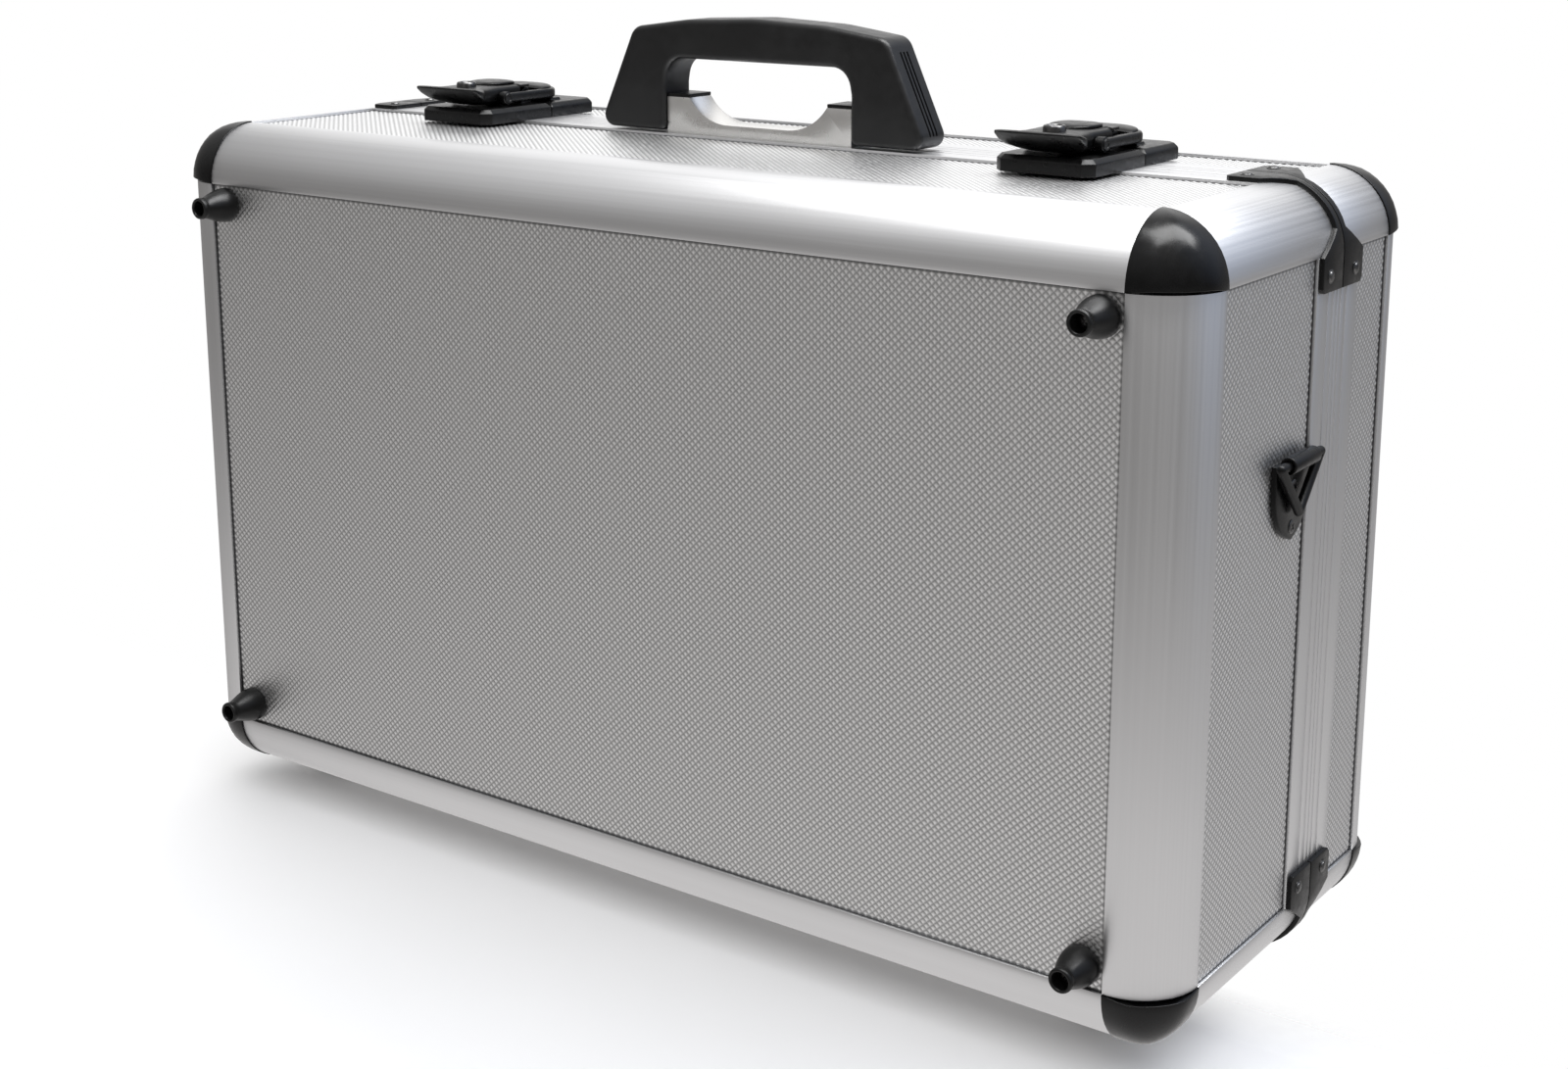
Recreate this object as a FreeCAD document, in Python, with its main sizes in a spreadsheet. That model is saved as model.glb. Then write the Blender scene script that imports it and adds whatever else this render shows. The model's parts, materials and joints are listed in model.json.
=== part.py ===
"""Aluminium-framed equipment case that stands on its hinge side.

A clamshell of two shells.  The deeper base is at -Y and the shallower lid at +Y.  Each
shell is a frame of quarter-round rails, black ball corners and thin embossed boards, and
closes on a flat frame rail.  The origin is the middle of the whole case, at floor level.
"""
import FreeCAD, Part
import math
import os
import Sketcher

from FreeCAD import Placement, Rotation, Vector

os.makedirs("parts", exist_ok=True)
doc = FreeCAD.newDocument("equipment_case")

# ---------------------------------------------------------------- driving sizes, in mm
SIZES = {
    # shell
    "case_width": 500,
    "case_height": 300,
    "case_depth": 190,
    "lid_depth": 72,
    "edge_radius": 25,
    "profile_wall": 1.6,
    "board_thickness": 4,
    "board_recess": 1.4,
    "board_overlap": 5,
    "board_play": 0.3,
    "corner_wall": 3,
    "corner_proud": 0.5,
    # flat frame rails along the parting plane
    "frame_width": 18.5,
    "frame_plate": 2,
    "parting_gap": 0.4,
    "groove_width": 0.8,
    "groove_sink": 0.5,
    "groove_first": 3,
    "groove_pitch": 5,
    "tongue_wall": 1.5,
    "tongue_reach": 4,
    "tongue_root": 6,
    "tongue_play": 0.6,
    "lining_wall": 2.5,
    "lining_rounding": 14,
    "lining_gap": 0.5,
    # corner braces and rivets
    "brace_thickness": 1.8,
    "brace_length": 13,
    "brace_taper": 9,
    "brace_strap": 3.6,
    "brace_side_gap": 0.6,
    "rivet_radius": 2.6,
    "rivet_proud": 0.9,
    # feet
    "face_foot_height": 15,
    "face_foot_radius": 7.5,
    "face_foot_tip_radius": 4.7,
    "face_foot_hollow_radius": 3.2,
    "standing_foot_height": 10,
    "standing_foot_radius": 8.5,
    "standing_foot_tip_radius": 5,
    "standing_foot_hollow_radius": 3.5,
    "foot_hollow_sink": 6,
    "foot_lip_gap": 1.2,
    "standing_foot_inset": 45,
    # handle and its bracket
    "handle_length": 170,
    "handle_top_length": 130,
    "handle_shoulder": 44.5,
    "handle_crown": 5.5,
    "handle_thickness": 19,
    "handle_opening": 96,
    "handle_opening_rise": 32,
    "handle_opening_radius": 12,
    "handle_foot_rounding": 7.5,
    "handle_edge_rounding": 2,
    "handle_floor_gap": 1,
    "handle_side_play": 0.4,
    "handle_pivot_rise": 11.5,
    "handle_pin_radius": 2.5,
    "handle_pin_engagement": 9,
    "running_play": 0.05,
    "ear_length": 12,
    "ear_rise": 15.5,
    "ear_scoop": 20,
    "bracket_floor": 5,
    "bracket_depth": 15,
    "bracket_cap": 1.5,
    # latches
    "latch_inset": 100,
    "latch_width": 42,
    "latch_plate_length": 43,
    "latch_plate_rise": 6.5,
    "latch_corner": 4,
    "latch_bevel": 1.8,
    "catch_length": 32,
    "catch_nose_rise": 1.2,
    "lever_half_width": 13,
    "lever_lip_half_width": 18.5,
    "lever_pivot_back": 6,
    "lever_pivot_rise": 3.8,
    "lever_pin_radius": 1.5,
    "lever_lug_radius": 3.3,
    "lever_lug_half_width": 7.7,
    "cheek_thickness": 3,
    "cheek_side_play": 0.3,
    "lever_plate_rise": 7.3,
    "lever_plate_thickness": 1.7,
    "lever_head_back": 28,
    "lever_tip_back": 46,
    "bail_pivot_back": 24,
    "bail_reach": 15,
    "bail_bar": 3.5,
    "bail_half_thickness": 2.2,
    "bail_side_play": 0.4,
    "key_radius": 4.4,
    "key_proud": 2,
    "key_back": 33,
    # hinges on the standing side
    "hinge_inset": 100,
    "hinge_length": 60,
    "hinge_knuckle_radius": 3,
    "hinge_axis_drop": 3.2,
    "hinge_pin_radius": 1.6,
    "hinge_leaf_thickness": 1.5,
    "hinge_leaf_width": 17,
    "hinge_knuckle_play": 0.3,
    # shoulder strap plates and rings
    "strap_height": 205,
    "strap_plate_width": 30,
    "strap_plate_drop": 20,
    "strap_plate_thickness": 2.4,
    "strap_screw_proud": 0.4,
    "strap_barrel_radius": 3.2,
    "strap_barrel_length": 22,
    "ring_wire_radius": 1.8,
    "ring_half_width": 17,
    "ring_drop": 19,
}

sheet = doc.addObject("Spreadsheet::Sheet", "Sizes")
for row, (alias, number) in enumerate(SIZES.items(), start=1):
    sheet.set(f"A{row}", alias.replace("_", " "))
    sheet.set(f"B{row}", str(number))
    sheet.setAlias(f"B{row}", alias)
doc.recompute()


class Size:
    """A number that carries the spreadsheet expression it is worked out from."""

    def __init__(self, value, text=None):
        self.value = float(value)
        self.text = f"{float(value):.9g}" if text is None else text

    def __add__(self, other):
        other = as_size(other)
        return Size(self.value + other.value, f"({self.text} + {other.text})")

    def __sub__(self, other):
        other = as_size(other)
        return Size(self.value - other.value, f"({self.text} - {other.text})")

    def __mul__(self, other):
        other = as_size(other)
        return Size(self.value * other.value, f"({self.text} * {other.text})")

    def __truediv__(self, other):
        other = as_size(other)
        return Size(self.value / other.value, f"({self.text} / {other.text})")

    def __radd__(self, other):
        return as_size(other) + self

    def __rsub__(self, other):
        return as_size(other) - self

    def __rmul__(self, other):
        return as_size(other) * self

    def __neg__(self):
        return Size(-self.value, f"(0 - {self.text})")


def as_size(number):
    return number if isinstance(number, Size) else Size(number)


def root(size):
    return Size(math.sqrt(size.value), f"sqrt({size.text})")


def cell(alias):
    """The driving size with this alias."""
    return Size(sheet.get(alias), f"Sizes.{alias}")


def bind(obj, path, size):
    """Tie one property of an object to the spreadsheet."""
    obj.setExpression(path, as_size(size).text)


def vector(x, y, z):
    return Vector(as_size(x).value, as_size(y).value, as_size(z).value)


# ---------------------------------------------------------------- small building blocks
AXES = {"X": Vector(1, 0, 0), "Y": Vector(0, 1, 0), "Z": Vector(0, 0, 1)}
PLANE_ACROSS = {"X": "YZ_Plane", "Y": "XZ_Plane", "Z": "XY_Plane"}
TURN_FROM_Z = {
    "X": Rotation(Vector(0, 1, 0), 90),
    "Y": Rotation(Vector(1, 0, 0), -90),
    "Z": Rotation(),
    "-Y": Rotation(Vector(1, 0, 0), 90),
    "-Z": Rotation(Vector(1, 0, 0), 180),
}


def place(obj, x, y, z, rotation=None):
    """Put an object at a bound position, with a fixed rotation."""
    obj.Placement = Placement(vector(x, y, z), rotation or Rotation())
    for name, size in zip("xyz", (x, y, z)):
        bind(obj, f"Placement.Base.{name}", size)
    return obj


def block(name, low, high):
    """A box between two corners."""
    box = doc.addObject("Part::Box", name)
    for path, start, end in zip(("Length", "Width", "Height"), low, high):
        bind(box, path, as_size(end) - start)
    return place(box, *low)


def rod(name, axis, start, radius, length, tip_radius=None):
    """A cylinder, or a cone with a tip radius, from its start point along an axis."""
    if tip_radius is None:
        shape = doc.addObject("Part::Cylinder", name)
        bind(shape, "Radius", radius)
    else:
        shape = doc.addObject("Part::Cone", name)
        bind(shape, "Radius1", radius)
        bind(shape, "Radius2", tip_radius)
    bind(shape, "Height", length)
    return place(shape, *start, TURN_FROM_Z[axis])


def ball(name, centre, radius):
    sphere = doc.addObject("Part::Sphere", name)
    bind(sphere, "Radius", radius)
    return place(sphere, *centre)


def fused(name, *members):
    joined = doc.addObject("Part::MultiFuse", name)
    joined.Shapes = list(members)
    joined.Refine = True
    return joined


def shared(name, *members):
    overlap = doc.addObject("Part::MultiCommon", name)
    overlap.Shapes = list(members)
    return overlap


def cut(name, base, *tools):
    result = doc.addObject("Part::Cut", name)
    result.Base = base
    result.Tool = tools[0] if len(tools) == 1 else fused(name + "_tools", *tools)
    result.Refine = True
    return result


def group(name, *members):
    """Several separate solids that share one node."""
    together = doc.addObject("Part::Compound", name)
    together.Links = list(members)
    return together


def mirrored(name, source, axis, at=0):
    """A copy on the other side of the plane across an axis."""
    copy = doc.addObject("Part::Mirroring", name)
    copy.Source = source
    copy.Normal = AXES[axis]
    copy.Base = AXES[axis] * as_size(at).value
    bind(copy, f"Base.{axis.lower()}", at)
    return copy


def draw_loop(sketch, points, arcs):
    """Draw one closed outline.  arcs maps an edge's number to its centre and radius."""
    first = sketch.GeometryCount
    starts = []
    ends = []
    count = len(points)
    for number in range(count):
        begin = Vector(as_size(points[number][0]).value, as_size(points[number][1]).value, 0)
        after = points[(number + 1) % count]
        finish = Vector(as_size(after[0]).value, as_size(after[1]).value, 0)
        if number not in arcs:
            sketch.addGeometry(Part.LineSegment(begin, finish), False)
            starts.append(1)
            ends.append(2)
            continue
        centre_u, centre_v, radius = arcs[number]
        centre = Vector(as_size(centre_u).value, as_size(centre_v).value, 0)
        from_angle = math.atan2(begin.y - centre.y, begin.x - centre.x)
        to_angle = math.atan2(finish.y - centre.y, finish.x - centre.x)
        circle = Part.Circle(centre, Vector(0, 0, 1), as_size(radius).value)
        anticlockwise = (begin - centre).cross(finish - centre).z > 0
        if anticlockwise:
            sketch.addGeometry(Part.ArcOfCircle(circle, from_angle, to_angle), False)
        else:
            sketch.addGeometry(Part.ArcOfCircle(circle, to_angle, from_angle), False)
        starts.append(1 if anticlockwise else 2)
        ends.append(2 if anticlockwise else 1)
    for number in range(count):
        here = first + number
        after = first + (number + 1) % count
        meeting = ("Coincident", here, ends[number], after, starts[(number + 1) % count])
        sketch.addConstraint(Sketcher.Constraint(*meeting))
        for kind, size in zip(("DistanceX", "DistanceY"), points[number]):
            corner = (kind, -1, 1, here, starts[number], as_size(size).value)
            index = sketch.addConstraint(Sketcher.Constraint(*corner))
            bind(sketch, f"Constraints[{index}]", size)
        if number in arcs:
            radius = as_size(arcs[number][2])
            index = sketch.addConstraint(Sketcher.Constraint("Radius", here, radius.value))
            bind(sketch, f"Constraints[{index}]", radius)


def sketch_across(body, axis, offset, *loops):
    """A sketch on the body's own plane across an axis, at a bound place along it."""
    sketch = body.newObject("Sketcher::SketchObject", body.Name + "_outline")
    role = PLANE_ACROSS[axis]
    plane = next(item for item in body.Origin.OriginFeatures if item.Role == role)
    sketch.AttachmentSupport = [(plane, "")]
    sketch.MapMode = "FlatFace"
    sketch.AttachmentOffset = Placement(vector(0, 0, offset), Rotation())
    bind(sketch, "AttachmentOffset.Base.z", offset)
    for points, arcs in loops:
        draw_loop(sketch, points, arcs)
    return sketch


def prism(name, axis, low, high, *loops):
    """A PartDesign body: outlines across an axis, padded from low to high along it.

    Points are (Y, Z) across X, (X, Z) across Y and (X, Y) across Z.
    """
    body = doc.addObject("PartDesign::Body", name)
    # The plane across Y faces -Y, so there the outline sits at the high end.
    offset = -as_size(high) if axis == "Y" else as_size(low)
    sketch = sketch_across(body, axis, offset, *loops)
    pad = body.newObject("PartDesign::Pad", name + "_pad")
    pad.Profile = sketch
    bind(pad, "Length", as_size(high) - low)
    doc.recompute()
    return body


def rounded(body, radius, chosen):
    """A PartDesign fillet on the edges of the body that a test picks."""
    shape = body.Tip.Shape
    names = [f"Edge{i}" for i, edge in enumerate(shape.Edges, start=1) if chosen(edge)]
    fillet = body.newObject("PartDesign::Fillet", body.Name + "_fillet")
    fillet.Base = (fillet.BaseFeature, names)
    bind(fillet, "Radius", radius)
    doc.recompute()
    return body


def bevelled(body, width, chosen):
    """A PartDesign chamfer on the edges of the body that a test picks."""
    shape = body.Tip.Shape
    names = [f"Edge{i}" for i, edge in enumerate(shape.Edges, start=1) if chosen(edge)]
    chamfer = body.newObject("PartDesign::Chamfer", body.Name + "_chamfer")
    chamfer.Base = (chamfer.BaseFeature, names)
    bind(chamfer, "Size", width)
    doc.recompute()
    return body


def lies_at(edge, axis, size):
    """Whether an edge lies in the plane across an axis at this place."""
    place_on_axis = as_size(size).value
    low = getattr(edge.BoundBox, axis + "Min")
    high = getattr(edge.BoundBox, axis + "Max")
    return abs(low - place_on_axis) < 0.01 and abs(high - place_on_axis) < 0.01


nodes = {}


def node(name, obj):
    """Register a finished sub-part under the name of its file."""
    obj.Label = name
    nodes[name] = obj
    return obj


# ---------------------------------------------------------------- planes of the case
width = cell("case_width")
radius = cell("edge_radius")
recess = cell("board_recess")
overlap = cell("board_overlap")
wall = cell("profile_wall")
slot_floor = recess + cell("board_thickness")
profile_depth = slot_floor + wall
half_gap = cell("parting_gap") / 2
frame_width = cell("frame_width")

right = width / 2
left = -right
bottom = cell("standing_foot_height")
top = bottom + cell("case_height")
back = (cell("case_depth") + cell("face_foot_height") - cell("corner_proud")) / 2
front = back - cell("case_depth")
parting = back - cell("lid_depth")
middle_depth = (front + back) / 2
middle_height = (bottom + top) / 2
base_border = parting - frame_width
lid_border = parting + frame_width


def four_corners(name, source):
    """The source near the top right, and its copies at the other three corners."""
    low = mirrored(name + "_low", source, "Z", middle_height)
    far = mirrored(name + "_left", source, "X")
    far_low = mirrored(name + "_left_low", low, "X")
    return [source, far, low, far_low]


# ---------------------------------------------------------------- quarter-round rails
def rail_loop(spot):
    """Section of the quarter-round rail; spot turns the two depths into sketch places."""
    hook = overlap + wall
    slot_end = radius - overlap
    web_face = radius - hook
    inner_radius = radius - wall
    inner_start = radius - root(inner_radius * inner_radius - hook * hook)
    half_profile = [
        (radius, recess),
        (slot_end, recess),
        (slot_end, slot_floor),
        (radius, slot_floor),
        (radius, profile_depth),
        (web_face, profile_depth),
        (web_face, inner_start),
    ]
    depths = [(as_size(0), radius), (radius, as_size(0))] + half_profile
    depths += [(second, first) for first, second in reversed(half_profile)]
    points = [spot(first, second) for first, second in depths]
    centre = spot(radius, radius)
    arcs = {0: (*centre, radius), len(half_profile) + 1: (*centre, inner_radius)}
    return points, arcs


def make_rails():
    along_x = (left + radius, right - radius)
    along_z = (bottom + radius, top - radius)
    spots_x = {
        "front_top_rail": lambda a, b: (front + a, top - b),
        "front_bottom_rail": lambda a, b: (front + a, bottom + b),
        "back_top_rail": lambda a, b: (back - a, top - b),
        "back_bottom_rail": lambda a, b: (back - a, bottom + b),
    }
    spots_z = {
        "front_left_rail": lambda a, b: (left + a, front + b),
        "front_right_rail": lambda a, b: (right - a, front + b),
        "back_left_rail": lambda a, b: (left + a, back - b),
        "back_right_rail": lambda a, b: (right - a, back - b),
    }
    for name, spot in spots_x.items():
        node(name, prism(name + "_body", "X", *along_x, rail_loop(spot)))
    for name, spot in spots_z.items():
        node(name, prism(name + "_body", "Z", *along_z, rail_loop(spot)))
    depth_spot = lambda a, b: (right - a, top - b)
    spans = {
        "base_depth_rails": (front + radius, parting - half_gap),
        "lid_depth_rails": (parting + half_gap, back - radius),
    }
    for name, (low, high) in spans.items():
        rail = prism(name + "_one", "Y", low, high, rail_loop(depth_spot))
        node(name, group(name + "_group", *four_corners(name, rail)))


def make_corners():
    """Hollow sphere octants where three rails meet."""
    outer = doc.addObject("Part::Sphere", "corner_outer")
    bind(outer, "Radius", radius + cell("corner_proud"))
    outer.Angle1 = 0
    outer.Angle2 = 90
    outer.Angle3 = 90
    centre = (right - radius, back - radius, top - radius)
    place(outer, *centre)
    inner = ball("corner_inner", centre, radius - cell("corner_wall"))
    corner = cut("lid_corner", outer, inner)
    node("lid_corners", group("lid_corner_group", *four_corners("lid_corner_copy", corner)))
    near = mirrored("base_corner", corner, "Y", middle_depth)
    node("base_corners", group("base_corner_group", *four_corners("base_corner_copy", near)))


# ---------------------------------------------------------------- boards
def board(name, axis, low, high, u_range, v_range):
    """A board whose edges slide under the rails' lips, notched round the corners."""
    play = cell("board_play")
    reach = overlap - play
    u_lip, u_far_lip = u_range
    v_lip, v_far_lip = v_range
    u_ends = (u_lip - reach, u_lip + play, u_far_lip - play, u_far_lip + reach)
    v_ends = (v_lip - reach, v_lip + play, v_far_lip - play, v_far_lip + reach)
    points = [
        (u_ends[0], v_ends[1]),
        (u_ends[1], v_ends[1]),
        (u_ends[1], v_ends[0]),
        (u_ends[2], v_ends[0]),
        (u_ends[2], v_ends[1]),
        (u_ends[3], v_ends[1]),
        (u_ends[3], v_ends[2]),
        (u_ends[2], v_ends[2]),
        (u_ends[2], v_ends[3]),
        (u_ends[1], v_ends[3]),
        (u_ends[1], v_ends[2]),
        (u_ends[0], v_ends[2]),
    ]
    return node(name, prism(name + "_body", axis, low, high, (points, {})))


def make_boards():
    x_range = (left + radius, right - radius)
    z_range = (bottom + radius, top - radius)
    board("front_panel", "Y", front + recess, front + slot_floor, x_range, z_range)
    board("back_panel", "Y", back - slot_floor, back - recess, x_range, z_range)
    depth_ranges = {
        "base": (front + radius, base_border),
        "lid": (lid_border, back - radius),
    }
    for shell, y_range in depth_ranges.items():
        board(f"{shell}_top_panel", "Z", top - slot_floor, top - recess, x_range, y_range)
        board(f"{shell}_bottom_panel", "Z", bottom + recess, bottom + slot_floor, x_range, y_range)
        board(f"{shell}_left_panel", "X", left + recess, left + slot_floor, y_range, z_range)
        board(f"{shell}_right_panel", "X", right - slot_floor, right - recess, y_range, z_range)


# ---------------------------------------------------------------- frame at the parting
def frame_loop(spot, leg_depth):
    """Section of a flat frame rail: distance from the parting plane, then depth."""
    plate = cell("frame_plate")
    slot_end = frame_width - overlap
    web_face = slot_end - wall
    leg_face = half_gap + wall
    sink = cell("groove_sink")
    outline = [(half_gap, as_size(0))]
    for number in range(2):
        near = cell("groove_first") + number * cell("groove_pitch")
        far = near + cell("groove_width")
        outline += [(near, as_size(0)), (near, sink), (far, sink), (far, as_size(0))]
    outline += [
        (frame_width, as_size(0)),
        (frame_width, recess),
        (slot_end, recess),
        (slot_end, slot_floor),
        (frame_width, slot_floor),
        (frame_width, profile_depth),
        (web_face, profile_depth),
        (web_face, plate),
        (leg_face, plate),
        (leg_face, leg_depth),
        (half_gap, leg_depth),
    ]
    return [spot(run, depth) for run, depth in outline], {}


def make_frames():
    along_x = (left + radius, right - radius)
    along_z = (bottom + radius, top - radius)
    legs = {"base": (-1, profile_depth), "lid": (1, profile_depth - cell("tongue_play"))}
    for shell, (side, leg) in legs.items():
        top_spot = lambda run, depth: (parting + side * run, top - depth)
        bottom_spot = lambda run, depth: (parting + side * run, bottom + depth)
        side_spot = lambda run, depth: (right - depth, parting + side * run)
        upper = prism(f"{shell}_top_frame_body", "X", *along_x, frame_loop(top_spot, leg))
        lower = prism(f"{shell}_bottom_frame_body", "X", *along_x, frame_loop(bottom_spot, leg))
        upright = prism(f"{shell}_side_frame", "Z", *along_z, frame_loop(side_spot, leg))
        far_upright = mirrored(f"{shell}_side_frame_left", upright, "X")
        node(f"{shell}_top_frame", upper)
        node(f"{shell}_bottom_frame", lower)
        node(f"{shell}_side_frames", group(f"{shell}_side_frame_group", upright, far_upright))


def rounded_loop(inset):
    """A rounded rectangle this far inside the outline of the case."""
    bend = radius - inset
    x_low = left + inset
    x_high = right - inset
    z_low = bottom + inset
    z_high = top - inset
    points = [
        (x_low + bend, z_low),
        (x_high - bend, z_low),
        (x_high, z_low + bend),
        (x_high, z_high - bend),
        (x_high - bend, z_high),
        (x_low + bend, z_high),
        (x_low, z_high - bend),
        (x_low, z_low + bend),
    ]
    arcs = {
        1: (x_high - bend, z_low + bend, bend),
        3: (x_high - bend, z_high - bend, bend),
        5: (x_low + bend, z_high - bend, bend),
        7: (x_low + bend, z_low + bend, bend),
    }
    return points, arcs


def lining(name, closed, opened, inward):
    """A thin tray against the inner flanges of the rails, open at the parting side."""
    thick = cell("lining_wall")
    bend = cell("lining_rounding")
    inner_closed = closed + inward * thick
    low, high = (closed, opened) if inward > 0 else (opened, closed)
    outer = prism(name + "_outer", "Y", low, high, rounded_loop(profile_depth))
    rounded(outer, bend, lambda edge: lies_at(edge, "Y", closed))
    past = opened + inward
    low, high = (inner_closed, past) if inward > 0 else (past, inner_closed)
    inner = prism(name + "_inner", "Y", low, high, rounded_loop(profile_depth + thick))
    rounded(inner, bend - thick, lambda edge: lies_at(edge, "Y", inner_closed))
    return node(name, cut(name + "_tray", outer, inner))


def make_linings():
    tongue_root = parting - cell("tongue_root")
    tongue_tip = parting + cell("tongue_reach")
    outer = rounded_loop(profile_depth)
    inner = rounded_loop(profile_depth + cell("tongue_wall"))
    node("frame_tongue", prism("frame_tongue_body", "Y", tongue_root, tongue_tip, outer, inner))
    gap = cell("lining_gap")
    lining("base_lining", front + profile_depth, tongue_root - gap, 1)
    lining("lid_lining", back - profile_depth, tongue_tip + gap, -1)


# ---------------------------------------------------------------- braces and rivets
def brace_half():
    """Lid half of the brace that wraps the top right rail, with a leaf at each end."""
    thick = cell("brace_thickness")
    run = cell("brace_length")
    start = parting + cell("brace_side_gap") / 2
    wide = parting + frame_width - cell("brace_side_gap")
    narrow = start + cell("brace_strap")
    bend_x = right - radius
    bend_z = top - radius
    band_points = [
        (bend_x - run, top),
        (bend_x - run, top + thick),
        (bend_x, top + thick),
        (right + thick, bend_z),
        (right + thick, bend_z - run),
        (right, bend_z - run),
        (right, bend_z),
        (bend_x, top),
    ]
    band_arcs = {2: (bend_x, bend_z, radius + thick), 6: (bend_x, bend_z, radius)}
    band = prism("brace_band", "Y", start, wide, (band_points, band_arcs))
    taper = cell("brace_taper")
    corner = thick
    top_leaf = [
        (bend_x - run, start),
        (bend_x + taper, start),
        (bend_x + taper, narrow),
        (bend_x, wide),
        (bend_x - run + corner, wide),
        (bend_x - run, wide - corner),
    ]
    side_leaf = [
        (start, bend_z - run),
        (wide - corner, bend_z - run),
        (wide, bend_z - run + corner),
        (wide, bend_z),
        (narrow, bend_z + taper),
        (start, bend_z + taper),
    ]
    over = top + 2 * thick
    above = prism("brace_top_leaf", "Z", bend_z + taper, over, (top_leaf, {}))
    beside = prism("brace_side_leaf", "X", bend_x + taper, right + 2 * thick, (side_leaf, {}))
    strap = block("brace_strap", (bend_x, start, bend_z), (right + 2 * thick, narrow, over))
    return shared("lid_brace", band, fused("brace_leaves", above, beside, strap))


def rivet_pair():
    """Two domed rivet heads on the top right brace of the lid."""
    inboard = cell("brace_length") * 0.55
    across = parting + frame_width * 0.62
    skin = cell("brace_thickness")
    heads = []
    for name, axis, start in (
        ("rivet_top", "Z", (right - radius - inboard, across, top + skin)),
        ("rivet_side", "X", (right + skin, across, top - radius - inboard)),
    ):
        proud = cell("rivet_proud")
        wide = cell("rivet_radius")
        heads.append(rod(name, axis, start, wide, proud, tip_radius=wide - proud))
    return heads


def make_braces():
    brace = brace_half()
    node("lid_braces", group("lid_brace_group", *four_corners("lid_brace_copy", brace)))
    near = mirrored("base_brace", brace, "Y", parting)
    node("base_braces", group("base_brace_group", *four_corners("base_brace_copy", near)))
    lid_heads = []
    base_heads = []
    for head in rivet_pair():
        lid_heads += four_corners(head.Name + "_lid", head)
        near = mirrored(head.Name + "_near", head, "Y", parting)
        base_heads += four_corners(head.Name + "_base", near)
    node("lid_rivets", group("lid_rivet_group", *lid_heads))
    node("base_rivets", group("base_rivet_group", *base_heads))


# ---------------------------------------------------------------- feet
def foot(name, kind, axis, start):
    """A hollow rubber cone and the head of the screw down inside it."""
    length = cell(kind + "_height") + recess
    hollow = cell(kind + "_hollow_radius")
    sink = cell("foot_hollow_sink")
    x, y, z = start
    if axis == "-Y":
        floor = (x, y - length + sink, z)
    else:
        floor = (x, y, z - length + sink)
    cone = rod(name + "_cone", axis, start, cell(kind + "_radius"), length, cell(kind + "_tip_radius"))
    well = rod(name + "_well", axis, floor, hollow, sink + 1)
    screw = rod(name + "_screw", axis, floor, hollow - 0.8, recess, hollow - 1.6)
    return cut(name, cone, well), screw


def make_feet():
    lip_end = radius + cell("foot_lip_gap")
    clear = lip_end + cell("face_foot_radius")
    stand_x = right - cell("standing_foot_inset")
    base_y = front + lip_end + 2 * cell("standing_foot_radius")
    lid_y = (lid_border + back - radius) / 2
    skin = bottom + recess
    face_start = (right - clear, front + recess, top - clear)
    face, face_screw = foot("face_foot", "face_foot", "-Y", face_start)
    base, base_screw = foot("base_foot", "standing_foot", "-Z", (stand_x, base_y, skin))
    lid, lid_screw = foot("lid_foot", "standing_foot", "-Z", (stand_x, lid_y, skin))
    screws = four_corners("face_foot_screw_copy", face_screw)
    screws += [base_screw, mirrored("base_foot_screw_left", base_screw, "X")]
    node("face_feet", group("face_foot_group", *four_corners("face_foot_copy", face)))
    node("base_standing_feet", group("base_foot_group", base, mirrored("base_foot_left", base, "X")))
    node("lid_standing_feet", group("lid_foot_group", lid, mirrored("lid_foot_left", lid, "X")))
    node("base_foot_screws", group("base_foot_screw_group", *screws))
    lid_screws = (lid_screw, mirrored("lid_foot_screw_left", lid_screw, "X"))
    node("lid_foot_screws", group("lid_foot_screw_group", *lid_screws))


# ---------------------------------------------------------------- handle
handle_y = parting - frame_width / 2
pivot_z = top + cell("handle_pivot_rise")
opening_half = cell("handle_opening") / 2


def handle_loop():
    """Front outline of the bridge handle: crowned grip, splayed legs, rounded opening."""
    foot_z = top + cell("handle_floor_gap")
    shoulder_z = top + cell("handle_shoulder")
    under_z = top + cell("handle_opening_rise")
    crown = cell("handle_crown")
    bend = cell("handle_opening_radius")
    outer = cell("handle_length") / 2
    shoulder = cell("handle_top_length") / 2
    crown_radius = (shoulder * shoulder + crown * crown) / (2 * crown)
    points = [
        (-outer, foot_z),
        (-opening_half, foot_z),
        (-opening_half, under_z - bend),
        (-opening_half + bend, under_z),
        (opening_half - bend, under_z),
        (opening_half, under_z - bend),
        (opening_half, foot_z),
        (outer, foot_z),
        (shoulder, shoulder_z),
        (-shoulder, shoulder_z),
    ]
    arcs = {
        2: (-opening_half + bend, under_z - bend, bend),
        4: (opening_half - bend, under_z - bend, bend),
        8: (as_size(0), shoulder_z + crown - crown_radius, crown_radius),
    }
    return points, arcs


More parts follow.
